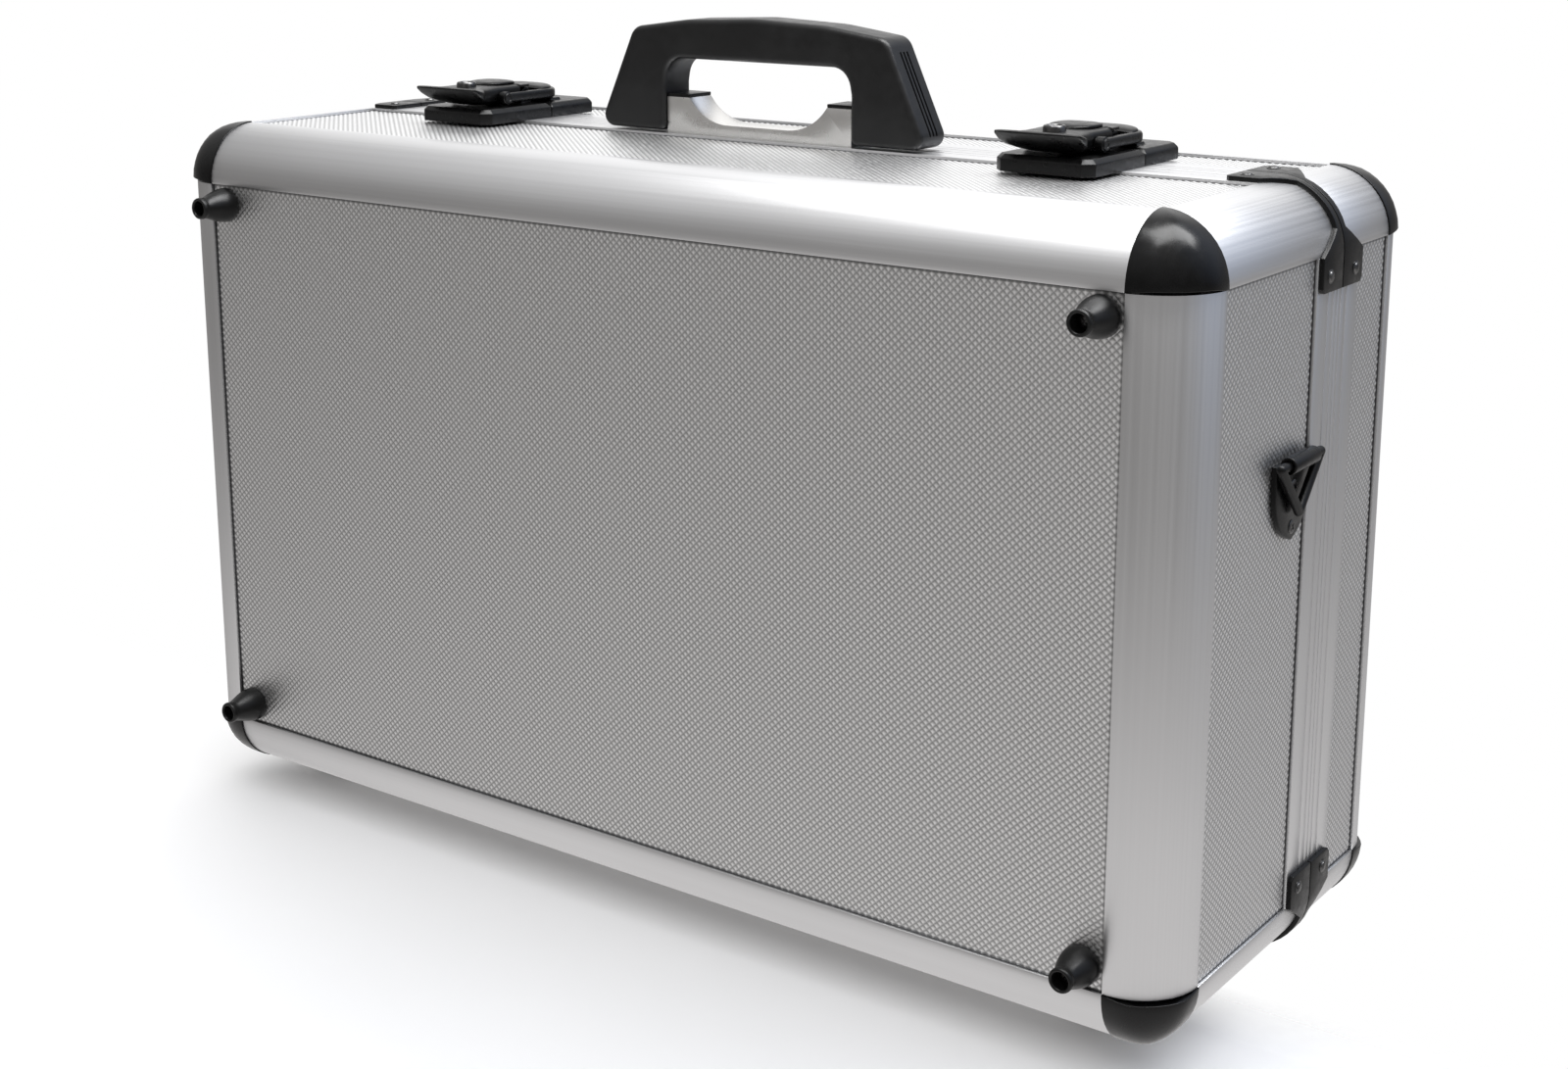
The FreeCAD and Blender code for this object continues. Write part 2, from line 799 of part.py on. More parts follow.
def make_handle():
    thick = cell("handle_thickness")
    near = handle_y - thick / 2
    far = handle_y + thick / 2
    foot_z = top + cell("handle_floor_gap")
    body = prism("handle_body", "Y", near, far, handle_loop())

    def under_a_leg(edge):
        along_x = edge.BoundBox.YLength < 0.01
        return along_x and lies_at(edge, "Z", foot_z)

    rounded(body, cell("handle_foot_rounding"), under_a_leg)
    pin_radius = cell("handle_pin_radius")
    reach = cell("handle_pin_engagement")
    bore_start = (opening_half - 1, handle_y, pivot_z)
    bore_radius = pin_radius + cell("running_play")
    bore = rod("handle_bore", "X", bore_start, bore_radius, reach + 1.5)
    bored = cut("handle_bored", body, bore, mirrored("handle_bore_left", bore, "X"))
    node("carry_handle", bored)

    ear_start = opening_half - cell("handle_side_play") - cell("ear_length")
    pin_start = (ear_start, handle_y, pivot_z)
    pin_length = cell("ear_length") + cell("handle_side_play") + reach
    pin = rod("handle_pin", "X", pin_start, pin_radius, pin_length)
    node("handle_pins", group("handle_pin_group", pin, mirrored("handle_pin_left", pin, "X")))
    make_bracket(ear_start, pin)


def make_bracket(ear_start, pin):
    """Metal bracket between the legs: an ear at each end scooped down to a low floor."""
    ear_end = opening_half - cell("handle_side_play")
    ear_top = top + cell("ear_rise")
    floor_z = top + cell("bracket_floor")
    scoop = cell("ear_scoop")
    drop = ear_top - floor_z
    scoop_end = ear_start - scoop
    scoop_radius = (scoop * scoop + drop * drop) / (2 * drop)
    points = [
        (-ear_end, top),
        (ear_end, top),
        (ear_end, ear_top),
        (ear_start, ear_top),
        (scoop_end, floor_z),
        (-scoop_end, floor_z),
        (-ear_start, ear_top),
        (-ear_end, ear_top),
    ]
    arcs = {
        3: (scoop_end, floor_z + scoop_radius, scoop_radius),
        5: (-scoop_end, floor_z + scoop_radius, scoop_radius),
    }
    near = handle_y - cell("bracket_depth") / 2
    far = handle_y + cell("bracket_depth") / 2
    body = prism("bracket_body", "Y", near, far, (points, arcs))
    start = (ear_start, handle_y, pivot_z)
    hole = rod("bracket_bore", "X", start, cell("handle_pin_radius"), cell("ear_length") + 1)
    bored = cut("bracket_bored", body, hole, mirrored("bracket_bore_left", hole, "X"))
    node("handle_bracket", bored)
    cap_low = (ear_start, near, ear_top)
    cap = block("ear_cap", cap_low, (ear_end, far, ear_top + cell("bracket_cap")))
    node("bracket_caps", group("ear_cap_group", cap, mirrored("ear_cap_left", cap, "X")))


# ---------------------------------------------------------------- latches
latch_x = right - cell("latch_inset")
plate_top = top + cell("latch_plate_rise")
lever_y = parting - cell("lever_pivot_back")
lever_z = plate_top + cell("lever_pivot_rise")
bail_y = parting - cell("bail_pivot_back")


def plate_outline(low_y, high_y, corner_at_low):
    """A latch plate seen from above, with two corners taken off its outer end."""
    half = cell("latch_width") / 2
    corner = cell("latch_corner")
    x_low = latch_x - half
    x_high = latch_x + half
    if corner_at_low:
        return [
            (x_low + corner, low_y),
            (x_high - corner, low_y),
            (x_high, low_y + corner),
            (x_high, high_y),
            (x_low, high_y),
            (x_low, low_y + corner),
        ]
    return [
        (x_low, low_y),
        (x_high, low_y),
        (x_high, high_y - corner),
        (x_high - corner, high_y),
        (x_low + corner, high_y),
        (x_low, high_y - corner),
    ]


def both_sides(node_name, source):
    """One node with the right-hand piece and its mirror image."""
    copy = mirrored(node_name + "_left_copy", source, "X")
    return node(node_name, group(node_name + "_group", source, copy))


def right_and_left(name, source):
    """Two nodes, right and left, for pieces that move by themselves."""
    node(f"right_{name}", source)
    node(f"left_{name}", mirrored(name + "_left_copy", source, "X"))


def make_latch_plates():
    near = parting - cell("latch_plate_length")
    bevel = cell("latch_bevel")
    outline = plate_outline(near, parting - half_gap, True)
    plate = prism("latch_plate_body", "Z", top, plate_top, (outline, {}))
    bevelled(plate, bevel, lambda edge: lies_at(edge, "Z", plate_top))
    cheek = cell("cheek_thickness")
    inner = cell("lever_lug_half_width") + cell("cheek_side_play")
    reach = cell("lever_lug_radius")
    cheeks = []
    for name, start in (("cheek_right", inner), ("cheek_left", -inner - cheek)):
        post_low = (latch_x + start, lever_y - reach, plate_top - bevel)
        post_high = (latch_x + start + cheek, lever_y + reach, lever_z)
        cheeks.append(block(name + "_post", post_low, post_high))
        crown_start = (latch_x + start, lever_y, lever_z)
        cheeks.append(rod(name + "_crown", "X", crown_start, reach, cheek))
    solid = fused("latch_plate_cheeks", plate, *cheeks)
    pin_start = (latch_x - inner - cheek, lever_y, lever_z)
    pin_length = 2 * (inner + cheek)
    pin = rod("latch_pin", "X", pin_start, cell("lever_pin_radius"), pin_length)
    bore = rod("latch_pin_bore", "X", pin_start, cell("lever_pin_radius"), pin_length)
    both_sides("latch_plates", cut("latch_plate", solid, bore))
    both_sides("latch_pins", pin)

    far = parting + cell("catch_length")
    outline = plate_outline(parting + half_gap, far, False)
    catch = prism("catch_body", "Z", top, plate_top, (outline, {}))
    bevelled(catch, bevel, lambda edge: lies_at(edge, "Z", plate_top))
    half = cell("lever_half_width")
    nose_end = parting + cell("bail_reach")
    nose_low = (latch_x - half, nose_end - 2 * cell("bail_bar"), plate_top - bevel)
    nose_high = (latch_x + half, nose_end, plate_top + cell("catch_nose_rise"))
    both_sides("latch_catches", fused("latch_catch", catch, block("catch_nose", nose_low, nose_high)))


def make_levers():
    """Finger lever: flared lip, wide head with the lock, and a narrow tail to the pivot."""
    half = cell("lever_half_width")
    lip_half = cell("lever_lip_half_width")
    head_back = parting - cell("lever_head_back")
    tip = parting - cell("lever_tip_back")
    under = plate_top + cell("lever_plate_rise")
    over = under + cell("lever_plate_thickness")
    head_under = plate_top + cell("lever_pivot_rise")
    thick = cell("lever_plate_thickness")
    lip_rise = thick
    head = [
        (head_back, head_under),
        (head_back, over),
        (head_back - 4 * thick, over),
        (tip + 3 * thick, over - thick),
        (tip, over + lip_rise),
        (tip - thick / 2, over),
        (tip + 3 * thick, over - 2.5 * thick),
        (head_back - 4 * thick, head_under),
    ]
    wide = prism("lever_head", "X", latch_x - lip_half, latch_x + lip_half, (head, {}))
    tail_end = lever_y + thick
    tail = block("lever_tail", (latch_x - half, head_back, under), (latch_x + half, tail_end, over))
    side_low = plate_top + cell("bail_half_thickness")
    side_wall = wall
    sides = []
    for name, x_low in (("right", latch_x + half - side_wall), ("left", latch_x - half)):
        low = (x_low, head_back, side_low)
        sides.append(block(f"lever_side_{name}", low, (x_low + side_wall, lever_y, under)))
    lug_half = cell("lever_lug_half_width")
    lug_radius = cell("lever_lug_radius")
    lug_start = (latch_x - lug_half, lever_y, lever_z)
    lug = rod("lever_lug", "X", lug_start, lug_radius, 2 * lug_half)
    web_low = (latch_x - lug_half, lever_y - lug_radius, lever_z)
    web = block("lever_web", web_low, (latch_x + lug_half, lever_y + thick, under))
    stub_radius = cell("lever_pin_radius")
    stub_half = half + cell("bail_side_play") + cell("bail_bar")
    stub_start = (latch_x - stub_half, bail_y, lever_z)
    stub = rod("bail_stub", "X", stub_start, stub_radius, 2 * stub_half)
    pad_low = head_back + 2 * thick
    pad = rounded_pad(pad_low, lever_y - thick, over, over + thick)
    solid = fused("lever_solid", wide, tail, *sides, lug, web, stub, pad)
    bore_radius = stub_radius + cell("running_play")
    bore = rod("lever_bore", "X", (lug_start[0] - 1, lever_y, lever_z), bore_radius, 2 * lug_half + 2)
    key_y = parting - cell("key_back")
    key_radius = cell("key_radius")
    play = cell("running_play")
    key_floor = head_under - 1
    key_hole = rod("key_hole", "Z", (latch_x, key_y, key_floor), key_radius + play, over)
    right_and_left("latch_lever", cut("lever_cut", solid, bore, key_hole))
    key_length = over + cell("key_proud") - head_under
    key = rod("key_barrel", "Z", (latch_x, key_y, head_under), key_radius, key_length)
    slot_low = (latch_x - key_radius * 0.6, key_y - wall / 4, over + cell("key_proud") - wall)
    slot_high = (latch_x + key_radius * 0.6, key_y + wall / 4, over + cell("key_proud") + 1)
    right_and_left("key_cylinder", cut("key_cut", key, block("key_slot", slot_low, slot_high)))


def rounded_pad(y_low, y_high, z_low, z_high):
    """The raised oval thumb pad on the lever's tail."""
    half = cell("lever_half_width") * 0.6
    round_y_low = y_low + half
    round_y_high = y_high - half
    points = [
        (latch_x + half, round_y_low),
        (latch_x + half, round_y_high),
        (latch_x - half, round_y_high),
        (latch_x - half, round_y_low),
    ]
    top_arc = half * 1.25
    rise = top_arc - root(top_arc * top_arc - half * half)
    arcs = {
        1: (latch_x, round_y_high - top_arc + rise, top_arc),
        3: (latch_x, round_y_low + top_arc - rise, top_arc),
    }
    return prism("lever_pad", "Z", z_low, z_high, (points, arcs))


def make_bails():
    """U-shaped bail on the lever's stubs; its cross bar lies over the nose of the catch."""
    inner = cell("lever_half_width") + cell("bail_side_play")
    bar = cell("bail_bar")
    outer = inner + bar
    near = bail_y - cell("bail_half_thickness")
    far = parting + cell("bail_reach")
    corner = bar
    points = [
        (latch_x - outer, near),
        (latch_x - inner, near),
        (latch_x - inner, far - bar),
        (latch_x + inner, far - bar),
        (latch_x + inner, near),
        (latch_x + outer, near),
        (latch_x + outer, far - corner),
        (latch_x + outer - corner, far),
        (latch_x - outer + corner, far),
        (latch_x - outer, far - corner),
    ]
    arcs = {
        6: (latch_x + outer - corner, far - corner, corner),
        8: (latch_x - outer + corner, far - corner, corner),
    }
    low = lever_z - cell("bail_half_thickness")
    high = lever_z + cell("bail_half_thickness")
    body = prism("bail_body", "Z", low, high, (points, arcs))
    start = (latch_x - outer - 1, bail_y, lever_z)
    bore_radius = cell("lever_pin_radius") + cell("running_play")
    bore = rod("bail_bore", "X", start, bore_radius, 2 * outer + 2)
    right_and_left("latch_bail", cut("bail_cut", body, bore))


# ---------------------------------------------------------------- hinges
KNUCKLES = 5
hinge_x = right - cell("hinge_inset")
hinge_z = bottom - cell("hinge_axis_drop")


def hinge_leaf(name, side, own):
    """One leaf with its knuckles; side is -1 for the base and 1 for the lid."""
    length = cell("hinge_length")
    start_x = hinge_x - length / 2
    pitch = length / KNUCKLES
    play = cell("hinge_knuckle_play")
    knuckle = cell("hinge_knuckle_radius")
    near = parting + side * half_gap
    far = parting + side * cell("hinge_leaf_width")
    low_y, high_y = (far, near) if side < 0 else (near, far)
    low = (start_x, low_y, bottom - cell("hinge_leaf_thickness"))
    leaf = block(name + "_plate", low, (start_x + length, high_y, bottom))
    barrels = []
    reliefs = []
    for number in range(KNUCKLES):
        knuckle_x = start_x + number * pitch
        if number in own:
            begin = (knuckle_x + play / 2, parting, hinge_z)
            barrels.append(rod(f"{name}_knuckle_{number}", "X", begin, knuckle, pitch - play))
        else:
            begin = (knuckle_x - play / 2, parting, hinge_z)
            room = rod(f"{name}_relief_{number}", "X", begin, knuckle + play, pitch + play)
            reliefs.append(room)
    relieved = cut(name + "_relieved", leaf, *reliefs)
    solid = fused(name + "_solid", relieved, *barrels)
    pin_play = 0 if side < 0 else cell("running_play")
    bore_radius = cell("hinge_pin_radius") + pin_play
    bore = rod(name + "_bore", "X", (start_x - 1, parting, hinge_z), bore_radius, length + 2)
    return cut(name, solid, bore)


def make_hinges():
    both_sides("base_hinge_leaves", hinge_leaf("base_leaf", -1, (0, 2, 4)))
    both_sides("lid_hinge_leaves", hinge_leaf("lid_leaf", 1, (1, 3)))
    start = (hinge_x - cell("hinge_length") / 2, parting, hinge_z)
    both_sides("hinge_pins", rod("hinge_pin", "X", start, cell("hinge_pin_radius"), cell("hinge_length")))


# ---------------------------------------------------------------- strap plates and rings
def make_strap_rings():
    """A leaf-shaped plate whose rolled top carries a triangular wire ring, on each side."""
    half = cell("strap_plate_width") / 2
    centre_y = base_border - half
    barrel_z = cell("strap_height") + bottom
    barrel_radius = cell("strap_barrel_radius")
    skin = right - recess
    face = skin + cell("strap_plate_thickness")
    barrel_x = face + barrel_radius - wall / 2
    drop = cell("strap_plate_drop")
    points = [
        (centre_y - half, barrel_z),
        (centre_y - half, barrel_z - drop / 2),
        (centre_y, barrel_z - 1.5 * drop),
        (centre_y + half, barrel_z - drop / 2),
        (centre_y + half, barrel_z),
    ]
    leaf_radius = (half * half + drop * drop) / (2 * half)
    arcs = {
        1: (centre_y - half + leaf_radius, barrel_z - drop / 2, leaf_radius),
        2: (centre_y + half - leaf_radius, barrel_z - drop / 2, leaf_radius),
    }
    plate = prism("strap_plate_body", "X", skin, face, (points, arcs))
    barrel_half = cell("strap_barrel_length") / 2
    barrel_start = (barrel_x, centre_y - barrel_half, barrel_z)
    barrel = rod("strap_barrel", "Y", barrel_start, barrel_radius, 2 * barrel_half)
    wire = cell("ring_wire_radius")
    bore_start = (barrel_x, centre_y - barrel_half - 1, barrel_z)
    bore = rod("strap_bore", "Y", bore_start, wire + cell("running_play"), 2 * barrel_half + 2)
    solid = fused("strap_plate_solid", plate, barrel)
    both_sides("strap_plates", cut("strap_plate", solid, bore))

    screw_radius = cell("rivet_radius")
    proud = cell("strap_screw_proud")
    screws = []
    for name, height in (("strap_screw_high", drop / 2), ("strap_screw_low", 1.25 * drop)):
        start = (face, centre_y, barrel_z - height)
        screws.append(rod(name, "X", start, screw_radius, proud, screw_radius - proud / 2))
    screws += [mirrored(screw.Name + "_left", screw, "X") for screw in screws]
    node("strap_screws", group("strap_screw_group", *screws))

    ring_half = cell("ring_half_width")
    ring_drop = cell("ring_drop")
    apex = (barrel_x, centre_y, barrel_z - ring_drop)
    ends = [(barrel_x, centre_y + way * ring_half, barrel_z) for way in (-1, 1)]
    bar = rod("ring_bar", "Y", ends[0], wire, 2 * ring_half)
    side_length = root(ring_half * ring_half + ring_drop * ring_drop)
    lean = math.degrees(math.atan2(ring_half.value, ring_drop.value))
    pieces = [bar, ball("ring_apex", apex, wire)]
    for name, way in (("near", -1), ("far", 1)):
        side = doc.addObject("Part::Cylinder", f"ring_side_{name}")
        bind(side, "Radius", wire)
        bind(side, "Height", side_length)
        place(side, *apex, Rotation(Vector(1, 0, 0), -way * lean))
        pieces.append(side)
        pieces.append(ball(f"ring_end_{name}", ends[0 if way < 0 else 1], wire))
    right_and_left("strap_ring", fused("ring_solid", *pieces))


# ---------------------------------------------------------------- build, test and export
def export_parts():
    doc.recompute()
    for obj in doc.Objects:
        if "Invalid" in obj.State or "Error" in obj.State:
            raise RuntimeError(f"{obj.Name} ({obj.Label}) failed: {obj.State}")
    for name, obj in nodes.items():
        shape = obj.Shape
        if shape.isNull() or not shape.isValid() or not shape.Solids:
            raise RuntimeError(f"{name} has no valid solid")
    for name, obj in nodes.items():
        obj.Shape.exportStep(f"parts/{name}.step")
    print(len(nodes), "nodes written")


make_rails()
make_corners()
make_boards()
make_frames()
make_linings()
make_braces()
make_feet()
make_handle()
make_latch_plates()
make_levers()
make_bails()
make_hinges()
make_strap_rings()
export_parts()
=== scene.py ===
"""Looks of an aluminium-framed equipment case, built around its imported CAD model."""

import json
import math

import bmesh
import bpy
import numpy as np
from mathutils import Matrix, Vector


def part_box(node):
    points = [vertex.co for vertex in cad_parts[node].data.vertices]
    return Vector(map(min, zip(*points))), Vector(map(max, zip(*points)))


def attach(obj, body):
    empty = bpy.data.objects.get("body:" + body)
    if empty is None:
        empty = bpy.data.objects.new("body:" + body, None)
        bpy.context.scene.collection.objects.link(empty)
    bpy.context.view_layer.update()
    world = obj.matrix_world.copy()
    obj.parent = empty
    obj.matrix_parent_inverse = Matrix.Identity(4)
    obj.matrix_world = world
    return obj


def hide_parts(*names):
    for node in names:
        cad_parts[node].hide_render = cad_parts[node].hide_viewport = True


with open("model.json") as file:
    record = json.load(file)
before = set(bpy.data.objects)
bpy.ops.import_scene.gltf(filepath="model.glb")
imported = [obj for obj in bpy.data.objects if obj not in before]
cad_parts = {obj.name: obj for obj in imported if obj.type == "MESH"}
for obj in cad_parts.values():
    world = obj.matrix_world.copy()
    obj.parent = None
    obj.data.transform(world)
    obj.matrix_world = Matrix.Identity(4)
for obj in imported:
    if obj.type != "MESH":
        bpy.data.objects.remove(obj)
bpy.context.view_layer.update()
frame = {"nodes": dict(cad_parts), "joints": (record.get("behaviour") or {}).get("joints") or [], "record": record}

MM = 0.001
shell_low, shell_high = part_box("front_left_rail")[0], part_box("back_right_rail")[1]
shell_middle = (shell_low + shell_high) / 2

# Points nearer than this are the same place.
SAME_PLACE = 0.01 * MM
# The boards' crest attribute: 1 on a bump's tip, 0 between bumps, this along a rail lip, where the foil paints a
# near-black shadow.
LIP_SHADOW_CREST = -1.0


def body_nodes():
    """Every CAD node with the body that it belongs to."""
    for body, nodes in frame["record"]["behaviour"]["bodies"].items():
        for node in nodes:
            yield body, node


def joint_place(name):
    """Where a joint turns."""
    joint = next(joint for joint in frame["joints"] if joint["name"] == name)
    return Vector(joint["pos_m"])


# ---------------------------------------------------------------- materials
class Finish:
    """A Principled material whose colour, roughness and relief come from its nodes."""

    def __init__(self, name, metallic, gloss=0.5):
        self.material = bpy.data.materials.new(name)
        self.material.use_nodes = True
        self.tree = self.material.node_tree
        self.shader = self.tree.nodes["Principled BSDF"]
        self.shader.inputs["Metallic"].default_value = metallic
        self.shader.inputs["Specular IOR Level"].default_value = gloss
        self.relief = None

    def add(self, kind, inputs=(), **settings):
        made = self.tree.nodes.new(kind)
        for key, value in settings.items():
            setattr(made, key, value)
        for key, value in dict(inputs).items():
            if isinstance(value, bpy.types.NodeSocket):
                self.tree.links.new(value, made.inputs[key])
            else:
                made.inputs[key].default_value = value
        return made

    def noise(self, scale, detail=3.0, stretch=(1.0, 1.0, 1.0)):
        """Noise in the piece's own coordinates.  The scale is in cycles per metre."""
        place = self.add("ShaderNodeTexCoord").outputs["Object"]
        spread = self.add("ShaderNodeMapping", {"Vector": place, "Scale": stretch})
        cloud = {"Vector": spread.outputs["Vector"], "Scale": scale, "Detail": detail}
        return self.add("ShaderNodeTexNoise", cloud).outputs["Fac"]

    def cells(self, scale):
        """Distance to the nearest cell centre, for pebbled plastic."""
        place = self.add("ShaderNodeTexCoord").outputs["Object"]
        return self.add("ShaderNodeTexVoronoi", {"Vector": place, "Scale": scale}).outputs["Distance"]

    def mapped(self, source, low, high, from_low=0.3, from_high=0.7):
        """The source's range stretched to low and high.  Noise lies mostly between the default limits."""
        limits = {"Value": source, "From Min": from_low, "From Max": from_high}
        limits.update({"To Min": low, "To Max": high})
        return self.add("ShaderNodeMapRange", limits).outputs["Result"]

    def mixed(self, share, first, second):
        """A blend of two colours, each a tuple or a socket."""
        blend = self.add("ShaderNodeMix", data_type="RGBA")
        colours = [socket for socket in blend.inputs if socket.type == "RGBA"]
        factor = next(socket for socket in blend.inputs if socket.type == "VALUE")
        for socket, value in zip([factor, *colours], (share, first, second)):
            if isinstance(value, bpy.types.NodeSocket):
                self.tree.links.new(value, socket)
            else:
                socket.default_value = value if isinstance(value, float) else (*value, 1.0)
        return next(socket for socket in blend.outputs if socket.type == "RGBA")

    def attribute(self, name):
        return self.add("ShaderNodeAttribute", attribute_name=name).outputs["Fac"]

    def colour(self, socket):
        self.tree.links.new(socket, self.shader.inputs["Base Color"])

    def roughness(self, socket):
        self.tree.links.new(socket, self.shader.inputs["Roughness"])

    def bump(self, height, depth, strength=1.0):
        """Fine relief, in metres, added on top of any that is there already."""
        inputs = {"Height": height, "Distance": depth, "Strength": strength}
        if self.relief is not None:
            inputs["Normal"] = self.relief
        self.relief = self.add("ShaderNodeBump", inputs).outputs["Normal"]
        self.tree.links.new(self.relief, self.shader.inputs["Normal"])


def anodised(axis):
    """Satin anodised extrusion, with faint drawing lines along its length."""
    stretch = tuple(0.002 if letter == axis else 1.0 for letter in "xyz")
    finish = Finish(f"anodised_aluminium_{axis}", 1.0)
    lines = finish.noise(900.0, 4.0, stretch)
    clouds = finish.noise(14.0, 3.0)
    tone = finish.mixed(finish.mapped(lines, 0.0, 1.0), (0.66, 0.66, 0.665), (0.7, 0.7, 0.705))
    finish.colour(finish.mixed(finish.mapped(clouds, 0.0, 0.35), tone, (0.63, 0.63, 0.635)))
    finish.roughness(finish.mapped(lines, 0.36, 0.41))
    finish.bump(lines, 0.00001, 0.2)
    finish.bump(finish.noise(5200.0, 2.0), 0.000012, 0.4)
    return finish.material


def embossed_foil():
    """Embossed silver foil: crests painted bright as a highlight over hollows painted darker as shade, with a
    near-black shadow painted along each rail lip.
    """
    finish = Finish("embossed_foil", 1.0)
    crest = finish.attribute("crest")
    # Crests painted bright as a highlight, hollows painted darker as shade.
    crest_light_and_shade = finish.mixed(finish.mapped(crest, 0.0, 1.0, 0.05, 0.8), (0.42, 0.42, 0.42), (1.0, 1.0, 1.0))
    # A near-black shadow painted along each rail lip.
    lip_shadow = finish.mixed(finish.mapped(crest, 1.0, 0.0, LIP_SHADOW_CREST, 0.0), crest_light_and_shade, (0.03, 0.031, 0.035))
    clouds = finish.noise(9.0, 4.0)
    finish.colour(finish.mixed(finish.mapped(clouds, 0.0, 0.12), lip_shadow, (0.6, 0.6, 0.6)))
    finish.roughness(finish.mapped(finish.noise(700.0, 3.0), 0.34, 0.46))
    finish.bump(finish.noise(3800.0, 2.0), 0.00002, 0.4)
    return finish.material


def moulded_black(name, tone, rough, pebble_scale, pebble_depth, gloss=0.5):
    """Black moulded plastic or rubber, with its own grain and a trace of dust."""
    finish = Finish(name, 0.0, gloss=gloss)
    dust = finish.noise(60.0, 6.0)
    dull = tuple(2.0 * part + 0.003 for part in tone)
    finish.colour(finish.mixed(finish.mapped(dust, 0.0, 0.5, 0.45, 0.8), tone, dull))
    finish.roughness(finish.mapped(finish.noise(240.0, 4.0), rough - 0.05, rough + 0.07))
    finish.bump(finish.cells(pebble_scale), pebble_depth, 0.5)
    finish.bump(finish.noise(45.0, 2.0), 0.00025, 0.2)
    return finish.material


def painted_black():
    """Black stove enamel on pressed steel, with a slight orange peel."""
    finish = Finish("painted_black", 0.0, gloss=0.25)
    dust = finish.mapped(finish.noise(90.0, 6.0), 0.0, 0.6, 0.45, 0.85)
    finish.colour(finish.mixed(dust, (0.0014, 0.0014, 0.0015), (0.006, 0.0059, 0.0057)))
    finish.roughness(finish.mapped(finish.noise(320.0, 4.0), 0.24, 0.4))
    finish.bump(finish.noise(900.0, 2.0), 0.00003, 0.4)
    return finish.material


def cast_bracket():
    """Satin cast metal, a little warm."""
    finish = Finish("bracket_satin", 1.0)
    clouds = finish.noise(60.0, 3.0)
    finish.colour(finish.mixed(finish.mapped(clouds, 0.0, 1.0), (0.76, 0.75, 0.73), (0.8, 0.79, 0.77)))
    finish.roughness(finish.mapped(clouds, 0.24, 0.3))
    finish.bump(finish.noise(1800.0, 3.0), 0.00001, 0.3)
    return finish.material


def blackened_steel():
    """Dark rivet and lock steel, worn unevenly."""
    finish = Finish("blackened_steel", 1.0)
    clouds = finish.noise(500.0, 4.0)
    worn = finish.mapped(clouds, 0.0, 1.0)
    finish.colour(finish.mixed(worn, (0.05, 0.05, 0.052), (0.17, 0.168, 0.165)))
    finish.roughness(finish.mapped(clouds, 0.22, 0.38))
    finish.bump(finish.noise(2500.0, 2.0), 0.00002, 0.4)
    return finish.material


def flocked_cloth():
    """Dark flocked lining with a soft sheen."""
    finish = Finish("flocked_cloth", 0.0)
    finish.shader.inputs["Sheen Weight"].default_value = 0.5
    finish.shader.inputs["Sheen Roughness"].default_value = 0.45
    pile = finish.noise(2600.0, 3.0)
    clouds = finish.noise(18.0, 3.0)
    tone = finish.mixed(finish.mapped(pile, 0.0, 1.0), (0.022, 0.022, 0.025), (0.075, 0.075, 0.082))
    finish.colour(finish.mixed(finish.mapped(clouds, 0.0, 0.4), tone, (0.04, 0.04, 0.045)))
    finish.roughness(finish.mapped(pile, 0.85, 1.0))
    finish.bump(pile, 0.0003, 0.6)
    return finish.material


ALUMINIUM = {axis: anodised(axis) for axis in "xyz"}
FOIL = embossed_foil()
CORNER = moulded_black("corner_gloss", (0.0012, 0.0012, 0.0013), 0.24, 1500.0, 0.00001, 0.27)
HANDLE = moulded_black("handle_grain", (0.005, 0.005, 0.0052), 0.36, 2200.0, 0.00003, 0.4)
RUBBER = moulded_black("foot_rubber", (0.003, 0.003, 0.003), 0.34, 2600.0, 0.00002, 0.3)
HARDWARE = painted_black()
BRACKET = cast_bracket()
STEEL = blackened_steel()
CLOTH = flocked_cloth()


# ---------------------------------------------------------------- mesh helpers
def new_piece(name, mesh, body, material, node):
    """Link a mesh in the row frame as a piece that stands for its CAD node."""
    mesh.materials.clear()
    mesh.materials.append(material)
    piece = bpy.data.objects.new(name, mesh)
    bpy.context.scene.collection.objects.link(piece)
    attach(piece, body)
    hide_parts(node)
    return piece


def mesh_from(shape, name, sharp_degrees=32.0):
    """A smooth-shaded mesh whose edges stay sharp where the faces turn steeply."""
    bmesh.ops.recalc_face_normals(shape, faces=shape.faces)
    mesh = bpy.data.meshes.new(name)
    shape.to_mesh(mesh)
    shape.free()
    if "custom_normal" in mesh.attributes:
        mesh.attributes.remove(mesh.attributes["custom_normal"])
    mesh.shade_smooth()
    mesh.set_sharp_from_angle(angle=math.radians(sharp_degrees))
    return mesh


def node_shape(node):
    """The CAD node's surface, with its split corners rejoined and its flat faces whole."""
    shape = bmesh.new()
    shape.from_mesh(frame["nodes"][node].data)
    bmesh.ops.remove_doubles(shape, verts=shape.verts, dist=SAME_PLACE)
    flat = math.radians(0.5)
    bmesh.ops.dissolve_limit(shape, angle_limit=flat, verts=shape.verts, edges=shape.edges)
    return shape


def eased(shape, width, segments=2, sharp_degrees=28.0):
    """Round over every edge where the faces meet sharply."""
    limit = math.radians(sharp_degrees)
    sharp = [edge for edge in shape.edges if edge.is_manifold and edge.calc_face_angle(0.0) > limit]
    bmesh.ops.bevel(
        shape,
        geom=sharp,
        offset=width,
        segments=segments,
        profile=0.5,
        affect="EDGES",
        clamp_overlap=True,
    )
    return shape


# ---------------------------------------------------------------- embossed boards
BUMP_PITCH = 3.0 * MM
BUMP_ROW = 1.4 * MM
BUMP_HEIGHT = 0.34 * MM
LIP_COVER = 4.7 * MM


def marks(low, high, step):
    """Grid lines across a board: its two edges, and even steps between the rails' lips."""
    start, finish = low + LIP_COVER, high - LIP_COVER
    count = max(2, round((finish - start) / step))
    return np.concatenate(([low], np.linspace(start, finish, count + 1), [high]))


